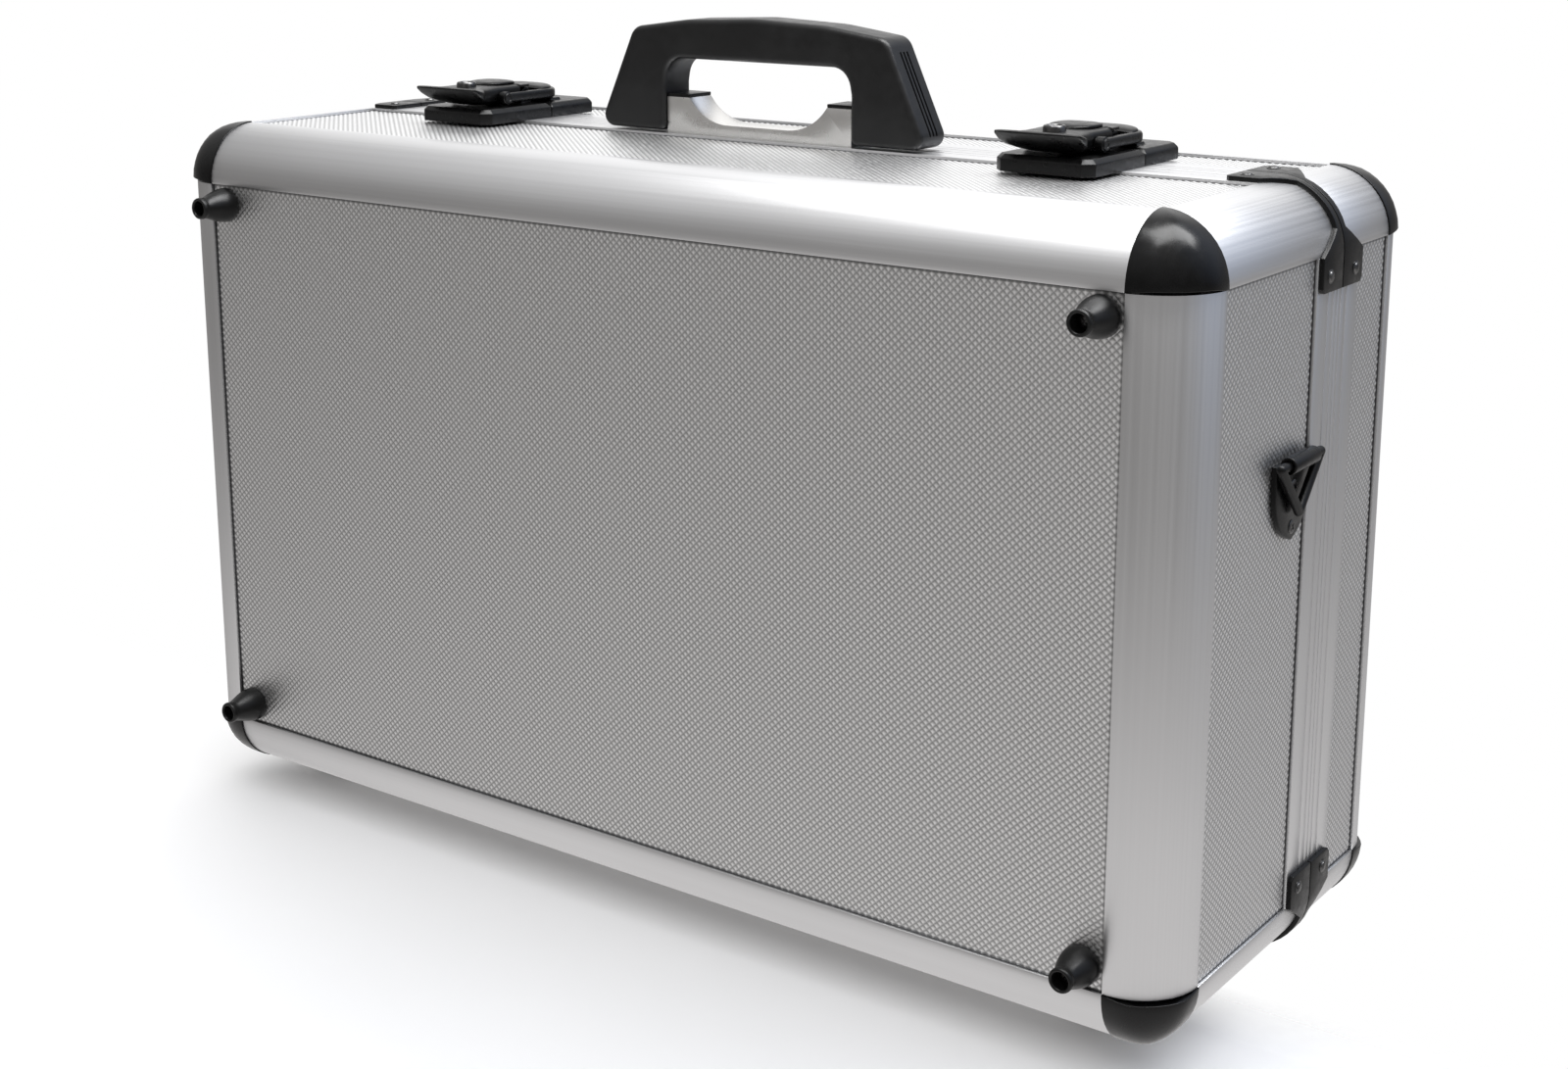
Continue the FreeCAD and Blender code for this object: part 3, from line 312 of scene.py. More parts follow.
def shade_board(mesh, raised, inside):
    """Mark the bumps' crests for the foil's painted highlight and shade and the lips' painted shadow, smooth the
    outer face, and crease the hollows between bumps.
    """
    outer_faces = 2 * (raised.shape[0] - 1) * (raised.shape[1] - 1)
    smooth = np.zeros(len(mesh.polygons), bool)
    smooth[:outer_faces] = True
    mesh.polygons.foreach_set("use_smooth", smooth)
    tall = np.zeros(len(mesh.vertices), bool)
    tall[: raised.size] = raised.ravel()
    # Crest levels drive the painted light: tips lit, hollows shaded, the margin at and under the lips painted as
    # shadow.
    level = np.full(len(mesh.vertices), LIP_SHADOW_CREST, np.float32)
    level[: raised.size] = np.where(raised, 1.0, np.where(inside, 0.0, LIP_SHADOW_CREST)).ravel()
    mesh.attributes.new("crest", "FLOAT", "POINT").data.foreach_set("value", level)
    ends = np.zeros(2 * len(mesh.edges), np.int32)
    mesh.edges.foreach_get("vertices", ends)
    ends = ends.reshape(-1, 2)
    hollow = ~tall[ends[:, 0]] & ~tall[ends[:, 1]]
    crease = mesh.attributes.new("sharp_edge", "BOOLEAN", "EDGE")
    crease.data.foreach_set("value", hollow)
    mesh.update()


def embossed_board(node, body):
    """One board as a closed sheet whose outer face is a staggered field of small bumps."""
    low, high = (np.array(corner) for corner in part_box(node))
    through = int(np.argmin(high - low))
    along, across = ((1, 2), (0, 2), (0, 1))[through]
    outward = 1.0 if (low + high)[through] / 2 > shell_middle[through] else -1.0
    face = high[through] if outward > 0 else low[through]
    rear = low[through] if outward > 0 else high[through]
    u = marks(low[along], high[along], BUMP_PITCH / 2)
    v = marks(low[across], high[across], BUMP_ROW)
    columns, rows = np.meshgrid(np.arange(len(u)), np.arange(len(v)), indexing="ij")
    inside = (columns > 1) & (columns < len(u) - 2) & (rows > 1) & (rows < len(v) - 2)
    staggered = (columns + rows) % 2 == 0
    raised = inside & staggered
    grid = np.zeros((len(u), len(v), 3))
    grid[..., along] = u[:, None]
    grid[..., across] = v[None, :]
    grid[..., through] = face + outward * BUMP_HEIGHT * raised
    points = grid.reshape(-1, 3)
    index = np.arange(len(points)).reshape(len(u), len(v))
    a, b = index[:-1, :-1].ravel(), index[1:, :-1].ravel()
    c, d = index[1:, 1:].ravel(), index[:-1, 1:].ravel()
    # Each cell is split along the diagonal between its two low corners.
    a_high = staggered[:-1, :-1].ravel()
    first = np.where(a_high[:, None], np.stack([a, b, d], 1), np.stack([a, b, c], 1))
    second = np.where(a_high[:, None], np.stack([b, c, d], 1), np.stack([a, c, d], 1))
    faces = np.concatenate([first, second]).tolist()
    rim = np.concatenate([index[:, 0], index[-1, 1:], index[-2::-1, -1], index[0, -2:0:-1]])
    sunk = points[rim].copy()
    sunk[:, through] = rear
    under = len(points) + np.arange(len(rim))
    after, under_after = np.roll(rim, -1), np.roll(under, -1)
    sides = np.stack([rim, under, under_after, after], 1).tolist()
    mesh = bpy.data.meshes.new(node + "_embossed")
    mesh.from_pydata(np.concatenate([points, sunk]).tolist(), [], faces + sides + [under[::-1].tolist()])
    flip = bmesh.new()
    flip.from_mesh(mesh)
    bmesh.ops.recalc_face_normals(flip, faces=flip.faces)
    flip.to_mesh(mesh)
    flip.free()
    shade_board(mesh, raised, inside)
    new_piece(node + "_embossed", mesh, body, FOIL, node)


def make_boards():
    for body, node in body_nodes():
        if node.endswith("_panel"):
            embossed_board(node, body)


# ---------------------------------------------------------------- turned and cut shapes
def turned(shape, profile, origin, outward, sides=36):
    """Add a lathe shape: profile points are (radius, height) along outward from the origin."""
    axis = Vector(outward).normalized()
    across = axis.orthogonal().normalized()
    beside = axis.cross(across)
    rings = []
    for radius, height in profile:
        centre = Vector(origin) + axis * height
        if radius == 0.0:
            rings.append([shape.verts.new(centre)] * sides)
            continue
        turns = (2 * math.pi * step / sides for step in range(sides))
        spokes = (across * math.cos(turn) + beside * math.sin(turn) for turn in turns)
        rings.append([shape.verts.new(centre + spoke * radius) for spoke in spokes])
    for ring, after in zip(rings, rings[1:]):
        for step in range(sides):
            follow = (step + 1) % sides
            corners = [ring[step], ring[follow], after[follow], after[step]]
            unique = list(dict.fromkeys(corners))
            if len(unique) > 2:
                shape.faces.new(unique)


def separate_boxes(node):
    """The lowest and highest corners of each separate solid in a CAD node, always in one order."""
    shape = node_shape(node)
    left = set(shape.verts)
    boxes = []
    while left:
        front = [left.pop()]
        found = list(front)
        while front:
            vert = front.pop()
            linked = {edge.other_vert(vert) for edge in vert.link_edges} & left
            left -= linked
            front += linked
            found += linked
        low = Vector([min(vert.co[i] for vert in found) for i in range(3)])
        high = Vector([max(vert.co[i] for vert in found) for i in range(3)])
        boxes.append((low, high))
    shape.free()
    return sorted(boxes, key=lambda box: tuple(box[0]))


def flat_side(low, high, through=None):
    """Where a small round piece sits: the middle of its inner face, and the way it faces."""
    size = high - low
    through = through if through is not None else min(range(3), key=lambda i: size[i])
    middle = (low + high) / 2
    outward = Vector((0.0, 0.0, 0.0))
    outward[through] = 1.0 if middle[through] > shell_middle[through] else -1.0
    seat = middle - outward * size[through] / 2
    return seat, outward, max(size[i] for i in range(3) if i != through) / 2, size[through]


def carved(piece, cutters):
    """Cut other meshes out of a piece, and keep the result as its own mesh."""
    for cutter in cutters:
        knife = piece.modifiers.new("cut", "BOOLEAN")
        knife.operation = "DIFFERENCE"
        knife.solver = "EXACT"
        knife.object = cutter
    ready = piece.evaluated_get(bpy.context.evaluated_depsgraph_get())
    mesh = bpy.data.meshes.new_from_object(ready)
    piece.modifiers.clear()
    piece.data = mesh
    mesh.shade_smooth()
    mesh.set_sharp_from_angle(angle=math.radians(32.0))
    for cutter in cutters:
        bpy.data.objects.remove(cutter)


def bar_between(start, finish, width, height, upright):
    """A plain bar used as a cutter, from one point to another."""
    shape = bmesh.new()
    bmesh.ops.create_cube(shape, size=1.0)
    along = Vector(finish) - Vector(start)
    forward = along.normalized()
    side = Vector(upright).cross(forward).normalized()
    turn = Matrix((side * width, forward * along.length, forward.cross(side) * height)).transposed()
    middle = (Vector(start) + Vector(finish)) / 2
    shape.transform(Matrix.Translation(middle) @ turn.to_4x4())
    bmesh.ops.recalc_face_normals(shape, faces=shape.faces)
    mesh = bpy.data.meshes.new("cutter")
    shape.to_mesh(mesh)
    shape.free()
    cutter = bpy.data.objects.new("cutter", mesh)
    bpy.context.scene.collection.objects.link(cutter)
    return cutter


def rounded_outline(corners, steps=8):
    """Points round an outline whose corners are (u, v, radius)."""
    points = []
    count = len(corners)
    for number, (u, v, radius) in enumerate(corners):
        here = Vector((u, v))
        before = (Vector(corners[number - 1][:2]) - here).normalized()
        after = (Vector(corners[(number + 1) % count][:2]) - here).normalized()
        if radius == 0.0:
            points.append(here)
            continue
        half_angle = before.angle(after) / 2
        centre = here + (before + after).normalized() * radius / math.sin(half_angle)
        start = here + before * radius / math.tan(half_angle) - centre
        sweep = start.angle_signed(here + after * radius / math.tan(half_angle) - centre)
        for step in range(steps + 1):
            turn = Matrix.Rotation(-sweep * step / steps, 2)
            points.append(centre + turn @ start)
    return points


def slab(points, low, high, place):
    """A prism between two levels; place turns (u, v, level) into a point of the row frame."""
    shape = bmesh.new()
    floor = [shape.verts.new(place(point[0], point[1], low)) for point in points]
    roof = [shape.verts.new(place(point[0], point[1], high)) for point in points]
    shape.faces.new(floor)
    shape.faces.new(roof)
    count = len(points)
    for step in range(count):
        follow = (step + 1) % count
        shape.faces.new((floor[step], floor[follow], roof[follow], roof[step]))
    bmesh.ops.recalc_face_normals(shape, faces=shape.faces)
    return shape


# ---------------------------------------------------------------- finished copies of the CAD nodes
EDGE_RADIUS = 25.0 * MM
# The corner swells only past this depth of its ball, and not on the faces inside this skin.
BALL_RIM = 0.3
BALL_SKIN = 0.2 * MM
BALL_SWELL = 1.8 * MM


def finished(node, body, material, width, segments=2):
    """A copy of the CAD node with its sharp edges eased, which is what the eye sees."""
    mesh = mesh_from(eased(node_shape(node), width, segments), node + "_finished")
    return new_piece(node + "_finished", mesh, body, material, node)


def rail_axis(node):
    """The way that a rail's drawing lines run."""
    if node.endswith(("left_rail", "right_rail", "side_frames")):
        return "z"
    return "y" if node.endswith("depth_rails") else "x"


def make_rails():
    for body, node in body_nodes():
        if node.endswith(("_rail", "_rails", "_frame", "_frames")):
            finished(node, body, ALUMINIUM[rail_axis(node)], 0.25 * MM)


def make_ball_corners(node, body):
    """Moulded corners that swell out in the middle of their ball."""
    shape = eased(node_shape(node), 0.4 * MM, 3)
    inner = (shell_high - shell_low) / 2 - Vector((EDGE_RADIUS, EDGE_RADIUS, EDGE_RADIUS))
    for vert in shape.verts:
        place = vert.co - shell_middle
        signs = Vector([math.copysign(1.0, part) for part in place])
        spoke = (place - signs * inner) * signs
        if spoke.length < EDGE_RADIUS + BALL_SKIN:
            continue
        share = min(max(min(spoke) / spoke.length / BALL_RIM, 0.0), 1.0)
        swell = BALL_SWELL * share * share * (3 - 2 * share)
        vert.co += spoke.normalized() * signs * swell
    mesh = mesh_from(shape, node + "_swollen", 38.0)
    new_piece(node + "_swollen", mesh, body, CORNER, node)


def make_hardware():
    black = [("base_braces", "base", 0.3), ("lid_braces", "lid", 0.3), ("latch_plates", "base", 0.6)]
    black += [("latch_catches", "lid", 0.6), ("strap_plates", "base", 0.4), ("bracket_caps", "base", 0.3)]
    black += [("base_hinge_leaves", "base", 0.3), ("lid_hinge_leaves", "lid", 0.3)]
    for side in ("right", "left"):
        black.append((f"{side}_strap_ring", f"{side}_ring", 0.2))
    for node, body, width in black:
        finished(node, body, HARDWARE, width * MM, 3)
    for body in ("base", "lid"):
        make_ball_corners(f"{body}_corners", body)
        finished(f"{body}_standing_feet", body, RUBBER, 0.5 * MM)
        finished(f"{body}_lining", body, CLOTH, 1.0 * MM)
    finished("handle_bracket", "base", BRACKET, 0.4 * MM)


# ---------------------------------------------------------------- handle
HANDLE_TOP_HALF = 65 * MM
HANDLE_CROWN = 5.5 * MM
HANDLE_OPENING_HALF = 48 * MM
HANDLE_OPENING_RISE = 31 * MM
# The legs stay straight this far up, so that the grip swings clear of the bracket's ears.
HANDLE_LEG_STRAIGHT = 20 * MM
HANDLE_LEG_LEAN = 2 * MM
HANDLE_EDGE = 2.4 * MM
# The crown's bend on each side of its top: how far out it is, and how far down.
CROWN_BEND_OUT = 0.55
CROWN_BEND_DOWN = 0.28
CROWN_TOP_ROUND = 90 * MM
CROWN_BEND_ROUND = 60 * MM
SHOULDER_ROUND = 7 * MM
HEEL_ROUND = 5 * MM
TOE_ROUND = 3 * MM
LEG_ROUND = 12 * MM
OPENING_ROUND = 9 * MM
GROOVE_WIDTH = 1.1 * MM
GROOVE_DEPTH = 0.8 * MM
GROOVE_SPREAD = 2.4 * MM
GROOVE_INSET = 6 * MM


def make_handle():
    """The arched grip: crowned top, rounded shoulders, and three grooves down each sloping end."""
    low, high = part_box("carry_handle")
    middle_y = (low.y + high.y) / 2
    half = (high.x - low.x) / 2
    shoulder = high.z - HANDLE_CROWN
    opening_top = low.z + HANDLE_OPENING_RISE
    right_side = [
        (CROWN_BEND_OUT * HANDLE_TOP_HALF, high.z - CROWN_BEND_DOWN * HANDLE_CROWN, CROWN_BEND_ROUND),
        (HANDLE_TOP_HALF, shoulder, SHOULDER_ROUND),
        (half, low.z, HEEL_ROUND),
        (HANDLE_OPENING_HALF, low.z, TOE_ROUND),
        (HANDLE_OPENING_HALF, low.z + HANDLE_LEG_STRAIGHT, LEG_ROUND),
        (HANDLE_OPENING_HALF - HANDLE_LEG_LEAN, opening_top, OPENING_ROUND),
    ]
    left_side = [(-u, v, radius) for u, v, radius in reversed(right_side)]
    crown = [(0.0, high.z, CROWN_TOP_ROUND)]
    points = rounded_outline(crown + right_side + left_side)
    shape = slab(points, low.y, high.y, lambda u, v, level: (u, level, v))
    rims = [edge for edge in shape.edges if abs(edge.verts[0].co.y - edge.verts[1].co.y) < SAME_PLACE]
    bmesh.ops.bevel(shape, geom=rims, offset=HANDLE_EDGE, segments=5, profile=0.5, affect="EDGES")
    mesh = mesh_from(shape, "carry_handle_grip", 40.0)
    grip = new_piece("carry_handle_grip", mesh, "handle", HANDLE, "carry_handle")
    cutters = []
    for side in (-1, 1):
        foot = Vector((side * half, middle_y, low.z))
        head = Vector((side * HANDLE_TOP_HALF, middle_y, shoulder))
        slope = (head - foot).normalized()
        outward = Vector((side * slope.z, 0.0, -side * slope.x))
        for way in (-1, 0, 1):
            offset = Vector((0.0, way * GROOVE_SPREAD, 0.0))
            start = foot + offset + slope * GROOVE_INSET
            finish = head + offset - slope * GROOVE_INSET
            cutters.append(bar_between(start, finish, GROOVE_WIDTH, 2 * GROOVE_DEPTH, outward))
    carved(grip, cutters)


# ---------------------------------------------------------------- latch levers and locks
# The lever from its lip to its tail, in mm from the pivot: (back, half width, underside, top).
LEVER_SECTIONS = [
    (-40.8, 17.0, 4.7, 5.3),
    (-39.8, 18.3, 3.6, 5.7),
    (-37.2, 18.5, 1.2, 5.3),
    (-34.3, 17.9, -0.8, 4.9),
    (-31.6, 15.2, -2.1, 4.9),
    (-29.2, 13.2, -2.8, 5.1),
    (-21.3, 13.0, -2.9, 5.2),
    (-19.8, 13.0, -1.6, 5.2),
    (-6.0, 13.0, -1.6, 5.2),
    (-5.8, 12.8, 3.5, 5.2),
    (0.6, 12.4, 3.5, 5.1),
    (1.6, 11.4, 3.9, 4.8),
]
PAD_START = -20.6 * MM
PAD_LENGTH = 19.6 * MM
PAD_HALF_WIDTH = 9.4 * MM
PAD_CROWN = 1.65 * MM
PAD_DEPTH = 2.4 * MM
PAD_STEPS = 16
# How square the pad is in plan and from the side.
PAD_PLAN = 2.6
PAD_SIDE = 3.0
LUG_RADIUS = 3.3 * MM
LUG_HALF_WIDTH = 7.7 * MM
STUB_HALF_WIDTH = 16.9 * MM
WEB_BACK = -0.3 * MM
WEB_RISE = 2.0 * MM
WEB_HEIGHT = 4.0 * MM
BAIL_BAR = 3.5 * MM
BAIL_TURN = 11.0 * MM
BAIL_END_START = 23.2 * MM
BAIL_BOSS_RADIUS = 2.9 * MM
BAIL_BOSS_FACE = 2.5 * MM
BAIL_PAD_LOW = 0.2 * MM
BAIL_PAD_EDGE = 2.2
BAIL_PAD_CROWN = 1.9
STUB_HEAD = ((0.0, -1.0), (2.4, -1.0), (2.4, 0.3), (2.1, 0.6), (1.4, 0.6), (1.2, 0.35), (0.0, 0.35))


def squared_loop(centre, half_width, low, high, squareness, steps=40):
    """A rounded rectangle in the XZ plane, as a superellipse."""
    middle = (low + high) / 2
    loop = []
    for step in range(steps):
        turn = 2 * math.pi * step / steps
        u, v = math.cos(turn), math.sin(turn)
        across = math.copysign(abs(u) ** (2 / squareness), u) * half_width
        upward = math.copysign(abs(v) ** (2 / squareness), v) * (high - low) / 2
        loop.append(centre + Vector((across, 0.0, middle + upward)))
    return loop


def lofted(shape, loops):
    """Skin a run of closed loops that all have the same number of points, and close both ends."""
    rings = [[shape.verts.new(point) for point in loop] for loop in loops]
    count = len(rings[0])
    for ring, after in zip(rings, rings[1:]):
        for step in range(count):
            follow = (step + 1) % count
            shape.faces.new((ring[step], ring[follow], after[follow], after[step]))
    shape.faces.new(rings[0])
    shape.faces.new(rings[-1])


def make_lever(side):
    """Finger lever: flared lip, body over the pivot lug, and a cushioned thumb pad."""
    pivot = joint_place(f"{side}_lever_lift")
    stub_pivot = joint_place(f"{side}_bail_turn")
    shape = bmesh.new()
    body = [
        squared_loop(pivot + Vector((0.0, back * MM, 0.0)), half * MM, low * MM, high * MM, 5.0)
        for back, half, low, high in LEVER_SECTIONS
    ]
    lofted(shape, body)
    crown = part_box(f"{side}_latch_lever")[1].z - pivot.z
    pad = []
    for step in range(PAD_STEPS + 1):
        share = min(max(step / PAD_STEPS, 0.004), 0.996)
        round_plan = (1 - abs(2 * share - 1) ** PAD_PLAN) ** (1 / PAD_PLAN)
        round_side = (1 - abs(2 * share - 1) ** PAD_SIDE) ** 0.5
        place = pivot + Vector((0.0, PAD_START + share * PAD_LENGTH, 0.0))
        top = crown - PAD_CROWN * (1 - round_side)
        pad.append(squared_loop(place, PAD_HALF_WIDTH * round_plan, crown - PAD_DEPTH, top, 3.0))
    lofted(shape, pad)
    lug = ((0.0, 0.0), (LUG_RADIUS, 0.0), (LUG_RADIUS, 2 * LUG_HALF_WIDTH), (0.0, 2 * LUG_HALF_WIDTH))
    turned(shape, lug, pivot - Vector((LUG_HALF_WIDTH, 0.0, 0.0)), (1.0, 0.0, 0.0))
    web = bmesh.ops.create_cube(shape, size=1.0)["verts"]
    web_size = Vector((2 * LUG_HALF_WIDTH, 1.7 * LUG_RADIUS, WEB_HEIGHT))
    for vert in web:
        vert.co = pivot + Vector((0.0, WEB_BACK, WEB_RISE)) + vert.co * web_size
    for way in (-1, 1):
        head = [(radius * MM, STUB_HALF_WIDTH + height * MM) for radius, height in STUB_HEAD]
        turned(shape, head, stub_pivot, (way, 0.0, 0.0))
    node = f"{side}_latch_lever"
    mesh = mesh_from(shape, node, 38.0)
    new_piece(node + "_shaped", mesh, f"{side}_lever", HARDWARE, node)


def make_bail(side):
    """U-shaped bail: round bosses on the lever's stubs, rounded arms, and a cushioned far end."""
    node = f"{side}_latch_bail"
    low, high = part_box(node)
    pivot = joint_place(f"{side}_bail_turn")
    reach = (high.x - low.x - BAIL_BAR) / 2
    far = high.y - pivot.y - BAIL_BAR / 2
    route = [(Vector((-reach, 0.0, 0.0)), 0.0)]
    for way in (-1, 1):
        centre = Vector((way * (reach - BAIL_TURN), far - BAIL_TURN, 0.0))
        for step in range(11):
            turn = math.pi / 2 * (step / 10 if way < 0 else 1 + step / 10)
            spoke = Vector((-math.cos(turn), math.sin(turn), 0.0)) * BAIL_TURN
            route.append((centre + spoke, turn))
    route.append((Vector((reach, 0.0, 0.0)), math.pi))
    half_height = (high.z - low.z) / 2
    flat = squared_loop(Vector((0.0, 0.0, 0.0)), BAIL_BAR / 2, -half_height, half_height, 3.2, 24)
    shape = bmesh.new()
    loops = []
    for place, turn in route:
        lean = Matrix.Rotation(-turn, 3, "Z")
        loops.append([pivot + place + lean @ point for point in flat])
    lofted(shape, loops)
    pillow = []
    for step in range(15):
        share = min(max(step / 14, 0.01), 0.99)
        back = BAIL_END_START + share * (far - BAIL_END_START)
        beyond = max(0.0, back - (far - BAIL_TURN))
        half = reach - BAIL_TURN + math.sqrt(max(BAIL_TURN ** 2 - beyond ** 2, 0.0))
        rise = (1 - abs(2 * share - 1) ** 3) ** 0.5
        place = pivot + Vector((0.0, back, 0.0))
        top = (BAIL_PAD_EDGE + BAIL_PAD_CROWN * rise) * MM
        pillow.append(squared_loop(place, max(half, 1.0 * MM), BAIL_PAD_LOW, top, 3.0))
    lofted(shape, pillow)
    boss = [(0.0, -BAIL_BAR / 2), (BAIL_BOSS_RADIUS, -BAIL_BAR / 2), (BAIL_BOSS_RADIUS, 0.42 * BAIL_BAR)]
    boss += [(BAIL_BOSS_FACE, BAIL_BAR / 2), (0.0, BAIL_BAR / 2)]
    for way in (-1, 1):
        turned(shape, boss, pivot + Vector((way * reach, 0.0, 0.0)), (way, 0.0, 0.0))
    mesh = mesh_from(shape, node, 38.0)
    new_piece(node + "_shaped", mesh, f"{side}_bail", HARDWARE, node)


def make_lock(side):
    """Lock cylinder: a rolled bezel round a sunken face with a keyway."""
    node = f"{side}_key_cylinder"
    low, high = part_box(node)
    radius, tall = (high.x - low.x) / 2, high.z - low.z
    seat = Vector(((low.x + high.x) / 2, (low.y + high.y) / 2, low.z))
    shares = ((0.0, 0.0), (1.0, 0.0), (1.0, 0.86), (0.96, 0.94), (0.87, 0.99), (0.78, 1.0), (0.7, 0.98))
    rim = ((0.64, 0.93), (0.62, 0.88), (0.2, 0.9), (0.0, 0.9))
    shape = bmesh.new()
    turned(shape, [(radius * wide, tall * up) for wide, up in shares + rim], seat, (0.0, 0.0, 1.0), 48)
    mesh = mesh_from(shape, node, 40.0)
    lock = new_piece(node + "_turned", mesh, f"{side}_key", STEEL, node)
    face = seat + Vector((0.0, 0.0, 0.9 * tall))
    reach = Vector((0.42 * radius, 0.0, 0.0))
    carved(lock, [bar_between(face - reach, face + reach, 0.2 * radius, 0.3 * tall, (0.0, 0.0, 1.0))])


# ---------------------------------------------------------------- feet, rivets and screws
# A face foot from its base to the floor of its hollow: shares of its radius and of its height.
FOOT_SHARES = [
    (0.0, 0.0), (0.97, 0.0), (1.0, 0.03), (1.0, 0.13), (0.985, 0.22), (0.94, 0.33), (0.87, 0.44),
    (0.785, 0.55), (0.7, 0.66), (0.635, 0.75), (0.6, 0.81), (0.595, 0.84), (0.615, 0.87), (0.628, 0.905),
    (0.626, 0.95), (0.605, 0.98), (0.56, 1.0), (0.49, 1.0), (0.445, 0.98), (0.43, 0.94), (0.42, 0.64),
    (0.4, 0.625), (0.0, 0.625),
]
# Rivet and screw heads, from below their seat to their top: shares of their radius and of their height.
RIVET_SHARES = ((1.0, -0.1), (1.0, 0.18), (0.94, 0.3), (0.8, 0.3), (0.76, 0.42), (0.7, 0.72), (0.5, 0.92))
SCREW_SHARES = ((0.0, -0.3), (1.0, -0.3), (1.0, 0.35), (0.93, 0.7), (0.78, 0.92), (0.5, 1.0), (0.0, 1.0))


def make_face_feet():
    """Rubber cones with a waist, a rolled lip and a deep round hollow."""
    shape = bmesh.new()
    for low, high in separate_boxes("face_feet"):
        seat, outward, base, tall = flat_side(low, high, through=1)
        turned(shape, [(base * wide, tall * up) for wide, up in FOOT_SHARES], seat, outward, 48)
    mesh = mesh_from(shape, "face_feet_turned", 50.0)
    new_piece("face_feet_turned", mesh, "base", RUBBER, "face_feet")


def make_rivets(node, body):
    """Domed rivet heads, each with a pressed ring round it."""
    shape = bmesh.new()
    for low, high in separate_boxes(node):
        seat, outward, radius, proud = flat_side(low, high)
        profile = [(radius * wide, proud * tall) for wide, tall in RIVET_SHARES] + [(0.0, proud)]
        turned(shape, profile, seat, outward)
    new_piece(node + "_turned", mesh_from(shape, node, 40.0), body, STEEL, node)


def make_screws(node, body):
    """Pan-head screws with a cross recess."""
    shape = bmesh.new()
    cutters = []
    for low, high in separate_boxes(node):
        seat, outward, radius, proud = flat_side(low, high)
        profile = [(radius * wide, proud * tall) for wide, tall in SCREW_SHARES]
        turned(shape, profile, seat, outward)
        top = seat + outward * proud
        across = outward.orthogonal().normalized()
        for arm in (across, across.cross(outward)):
            reach = arm * radius * 0.6
            cutters.append(bar_between(top - reach, top + reach, 0.28 * radius, 1.1 * proud, outward))
    piece = new_piece(node + "_turned", mesh_from(shape, node, 40.0), body, STEEL, node)
    carved(piece, cutters)


def make_small_metal():
    for body in ("base", "lid"):
        make_rivets(f"{body}_rivets", body)
        make_screws(f"{body}_foot_screws", body)
    make_screws("strap_screws", "base")
    for node in ("hinge_pins", "latch_pins", "handle_pins"):
        finished(node, "base", STEEL, 0.3 * MM)
    finished("frame_tongue", "base", ALUMINIUM["x"], 0.2 * MM)


# ---------------------------------------------------------------- camera, floor and light
CAMERA_PLACE = Vector((0.5577, -0.7331, 0.4193))
CAMERA_YAW = -0.6295
CAMERA_PITCH = -0.2226
CAMERA_ROLL = -0.001
CAMERA_LENS = 51.4
CAMERA_SHIFT = -0.1
SUN_FROM = (-0.1, 0.2, 1.0)
SUN_STRENGTH = 2.2
SUN_SPREAD = 120.0
FLOOR_HALF = 60.0
# The floor fades out between these two places along Y.
FLOOR_END = (-0.03, 0.005)
BOX_PLACE = (0.46, 0.1, 1.5)
BOX_SIZE = (1.6, 0.7)
BOX_TURN = 36.0
BOX_POWER = 42.0
# The studio round the case: an even glow, and patches as (towards, dot at edge, dot at full, colour).
ROOM_GLOW = (0.25, 0.243, 0.238)
ROOM_PATCHES = [
    ((0.0, 0.0, -1.0), 0.05, 0.7, (0.62, 0.61, 0.61)),
    ((0.0, 0.0, 1.0), 0.0, 0.9, (0.5, 0.505, 0.515)),
    ((-0.55, 0.75, 0.35), 0.8, 0.98, (0.75, 0.75, 0.75)),
    ((0.75, 0.5, 0.75), 0.6, 1.0, (0.2, 0.28, 0.44)),
]


def make_camera():
    """A camera at the viewing angle, above the case and to its right."""
    data = bpy.data.cameras.new("camera")
    data.sensor_width = 36.0
    data.lens = CAMERA_LENS
    data.shift_y = CAMERA_SHIFT
    forward = Vector(
        (
            math.sin(CAMERA_YAW) * math.cos(CAMERA_PITCH),
            math.cos(CAMERA_YAW) * math.cos(CAMERA_PITCH),
            math.sin(CAMERA_PITCH),
        )
    )
    level = Vector((math.cos(CAMERA_YAW), -math.sin(CAMERA_YAW), 0.0))
    upright = level.cross(forward)
    right = level * math.cos(CAMERA_ROLL) + upright * math.sin(CAMERA_ROLL)
    up = upright * math.cos(CAMERA_ROLL) - level * math.sin(CAMERA_ROLL)
    camera = bpy.data.objects.new("camera", data)
    turn = Matrix((right, up, -forward)).transposed()
    camera.matrix_world = Matrix.Translation(CAMERA_PLACE) @ turn.to_4x4()
    bpy.context.scene.collection.objects.link(camera)
    bpy.context.scene.camera = camera


def soft_sun():
    """One very wide sun, which lights the case and the whole floor evenly, as a big soft box does."""
    data = bpy.data.lights.new("soft_sun", "SUN")
    data.energy = SUN_STRENGTH
    data.angle = math.radians(SUN_SPREAD)
    light = bpy.data.objects.new("soft_sun", data)
    light.rotation_euler = (-Vector(SUN_FROM)).to_track_quat("-Z", "Y").to_euler()
    light.visible_glossy = False
    bpy.context.scene.collection.objects.link(light)


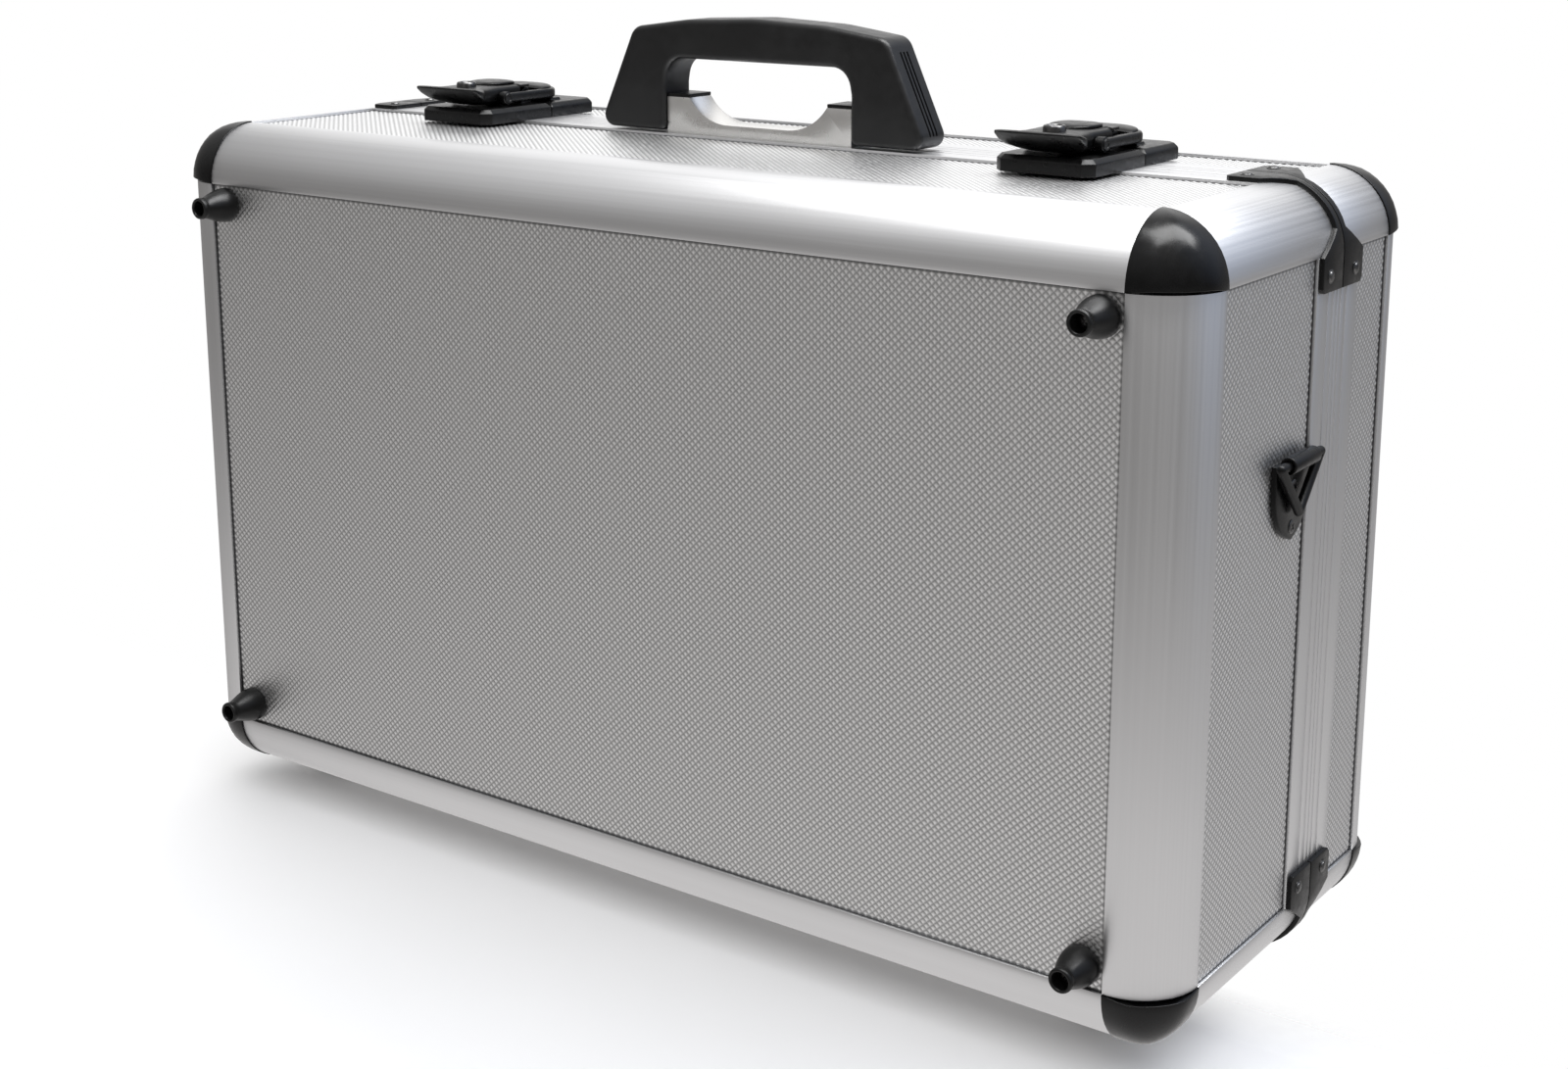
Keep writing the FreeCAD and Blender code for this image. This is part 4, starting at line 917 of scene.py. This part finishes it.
def make_world():
    """What the metal reflects: a dim room with bright patches.  The room itself is seen as white."""
    world = bpy.data.worlds.new("studio")
    bpy.context.scene.world = world
    world.use_nodes = True
    tree = world.node_tree
    tree.nodes.clear()
    towards = tree.nodes.new("ShaderNodeTexCoord").outputs["Generated"]
    total = None
    for direction, edge, full, colour in ROOM_PATCHES:
        facing = tree.nodes.new("ShaderNodeVectorMath")
        facing.operation = "DOT_PRODUCT"
        facing.inputs[1].default_value = Vector(direction).normalized()
        tree.links.new(towards, facing.inputs[0])
        share = tree.nodes.new("ShaderNodeMapRange")
        share.interpolation_type = "SMOOTHSTEP"
        share.inputs["From Min"].default_value = edge
        share.inputs["From Max"].default_value = full
        tree.links.new(facing.outputs["Value"], share.inputs["Value"])
        sum_up = tree.nodes.new("ShaderNodeVectorMath")
        sum_up.operation = "MULTIPLY_ADD"
        tree.links.new(share.outputs["Result"], sum_up.inputs[0])
        sum_up.inputs[1].default_value = colour
        if total is None:
            sum_up.inputs[2].default_value = ROOM_GLOW
        else:
            tree.links.new(total, sum_up.inputs[2])
        total = sum_up.outputs["Vector"]
    glow = tree.nodes.new("ShaderNodeBackground")
    tree.links.new(total, glow.inputs["Color"])
    white = tree.nodes.new("ShaderNodeBackground")
    white.inputs["Color"].default_value = (1.0, 1.0, 1.0, 1.0)
    seen = tree.nodes.new("ShaderNodeLightPath")
    either = tree.nodes.new("ShaderNodeMixShader")
    tree.links.new(seen.outputs["Is Camera Ray"], either.inputs["Fac"])
    tree.links.new(glow.outputs["Background"], either.inputs[1])
    tree.links.new(white.outputs["Background"], either.inputs[2])
    out = tree.nodes.new("ShaderNodeOutputWorld")
    tree.links.new(either.outputs["Shader"], out.inputs["Surface"])


def overhead_box():
    """A soft box that shows only as a highlight in glossy pieces."""
    data = bpy.data.lights.new("overhead_box", "AREA")
    data.shape = "RECTANGLE"
    data.size, data.size_y = BOX_SIZE
    data.energy = BOX_POWER
    light = bpy.data.objects.new("overhead_box", data)
    light.location = BOX_PLACE
    light.rotation_euler = (0.0, 0.0, math.radians(BOX_TURN))
    light.visible_diffuse = False
    light.visible_camera = False
    bpy.context.scene.collection.objects.link(light)


def make_floor():
    """A pale floor under the base shell.  It fades out behind, where the opened lid swings down."""
    half = FLOOR_HALF
    mesh = bpy.data.meshes.new("floor")
    corners = [(-half, -half, 0.0), (half, -half, 0.0), (half, half, 0.0), (-half, half, 0.0)]
    mesh.from_pydata(corners, [], [(0, 1, 2, 3)])
    floor = bpy.data.objects.new("floor", mesh)
    finish = Finish("pale_floor", 0.0)
    clouds = finish.mapped(finish.noise(3.0), 0.0, 1.0)
    finish.colour(finish.mixed(clouds, (0.9, 0.9, 0.9), (0.93, 0.93, 0.93)))
    finish.shader.inputs["Roughness"].default_value = 0.9
    place = finish.add("ShaderNodeTexCoord").outputs["Object"]
    back = finish.add("ShaderNodeSeparateXYZ", {"Vector": place}).outputs["Y"]
    finish.tree.links.new(finish.mapped(back, 1.0, 0.0, *FLOOR_END), finish.shader.inputs["Alpha"])
    mesh.materials.append(finish.material)
    floor.visible_glossy = False
    bpy.context.scene.collection.objects.link(floor)


def make_studio():
    bpy.context.scene.view_settings.view_transform = "Standard"
    make_camera()
    make_world()
    make_floor()
    soft_sun()
    overhead_box()


make_boards()
make_rails()
make_hardware()
make_handle()
for latch_side in ("right", "left"):
    make_lever(latch_side)
    make_bail(latch_side)
    make_lock(latch_side)
make_face_feet()
make_small_metal()
make_studio()
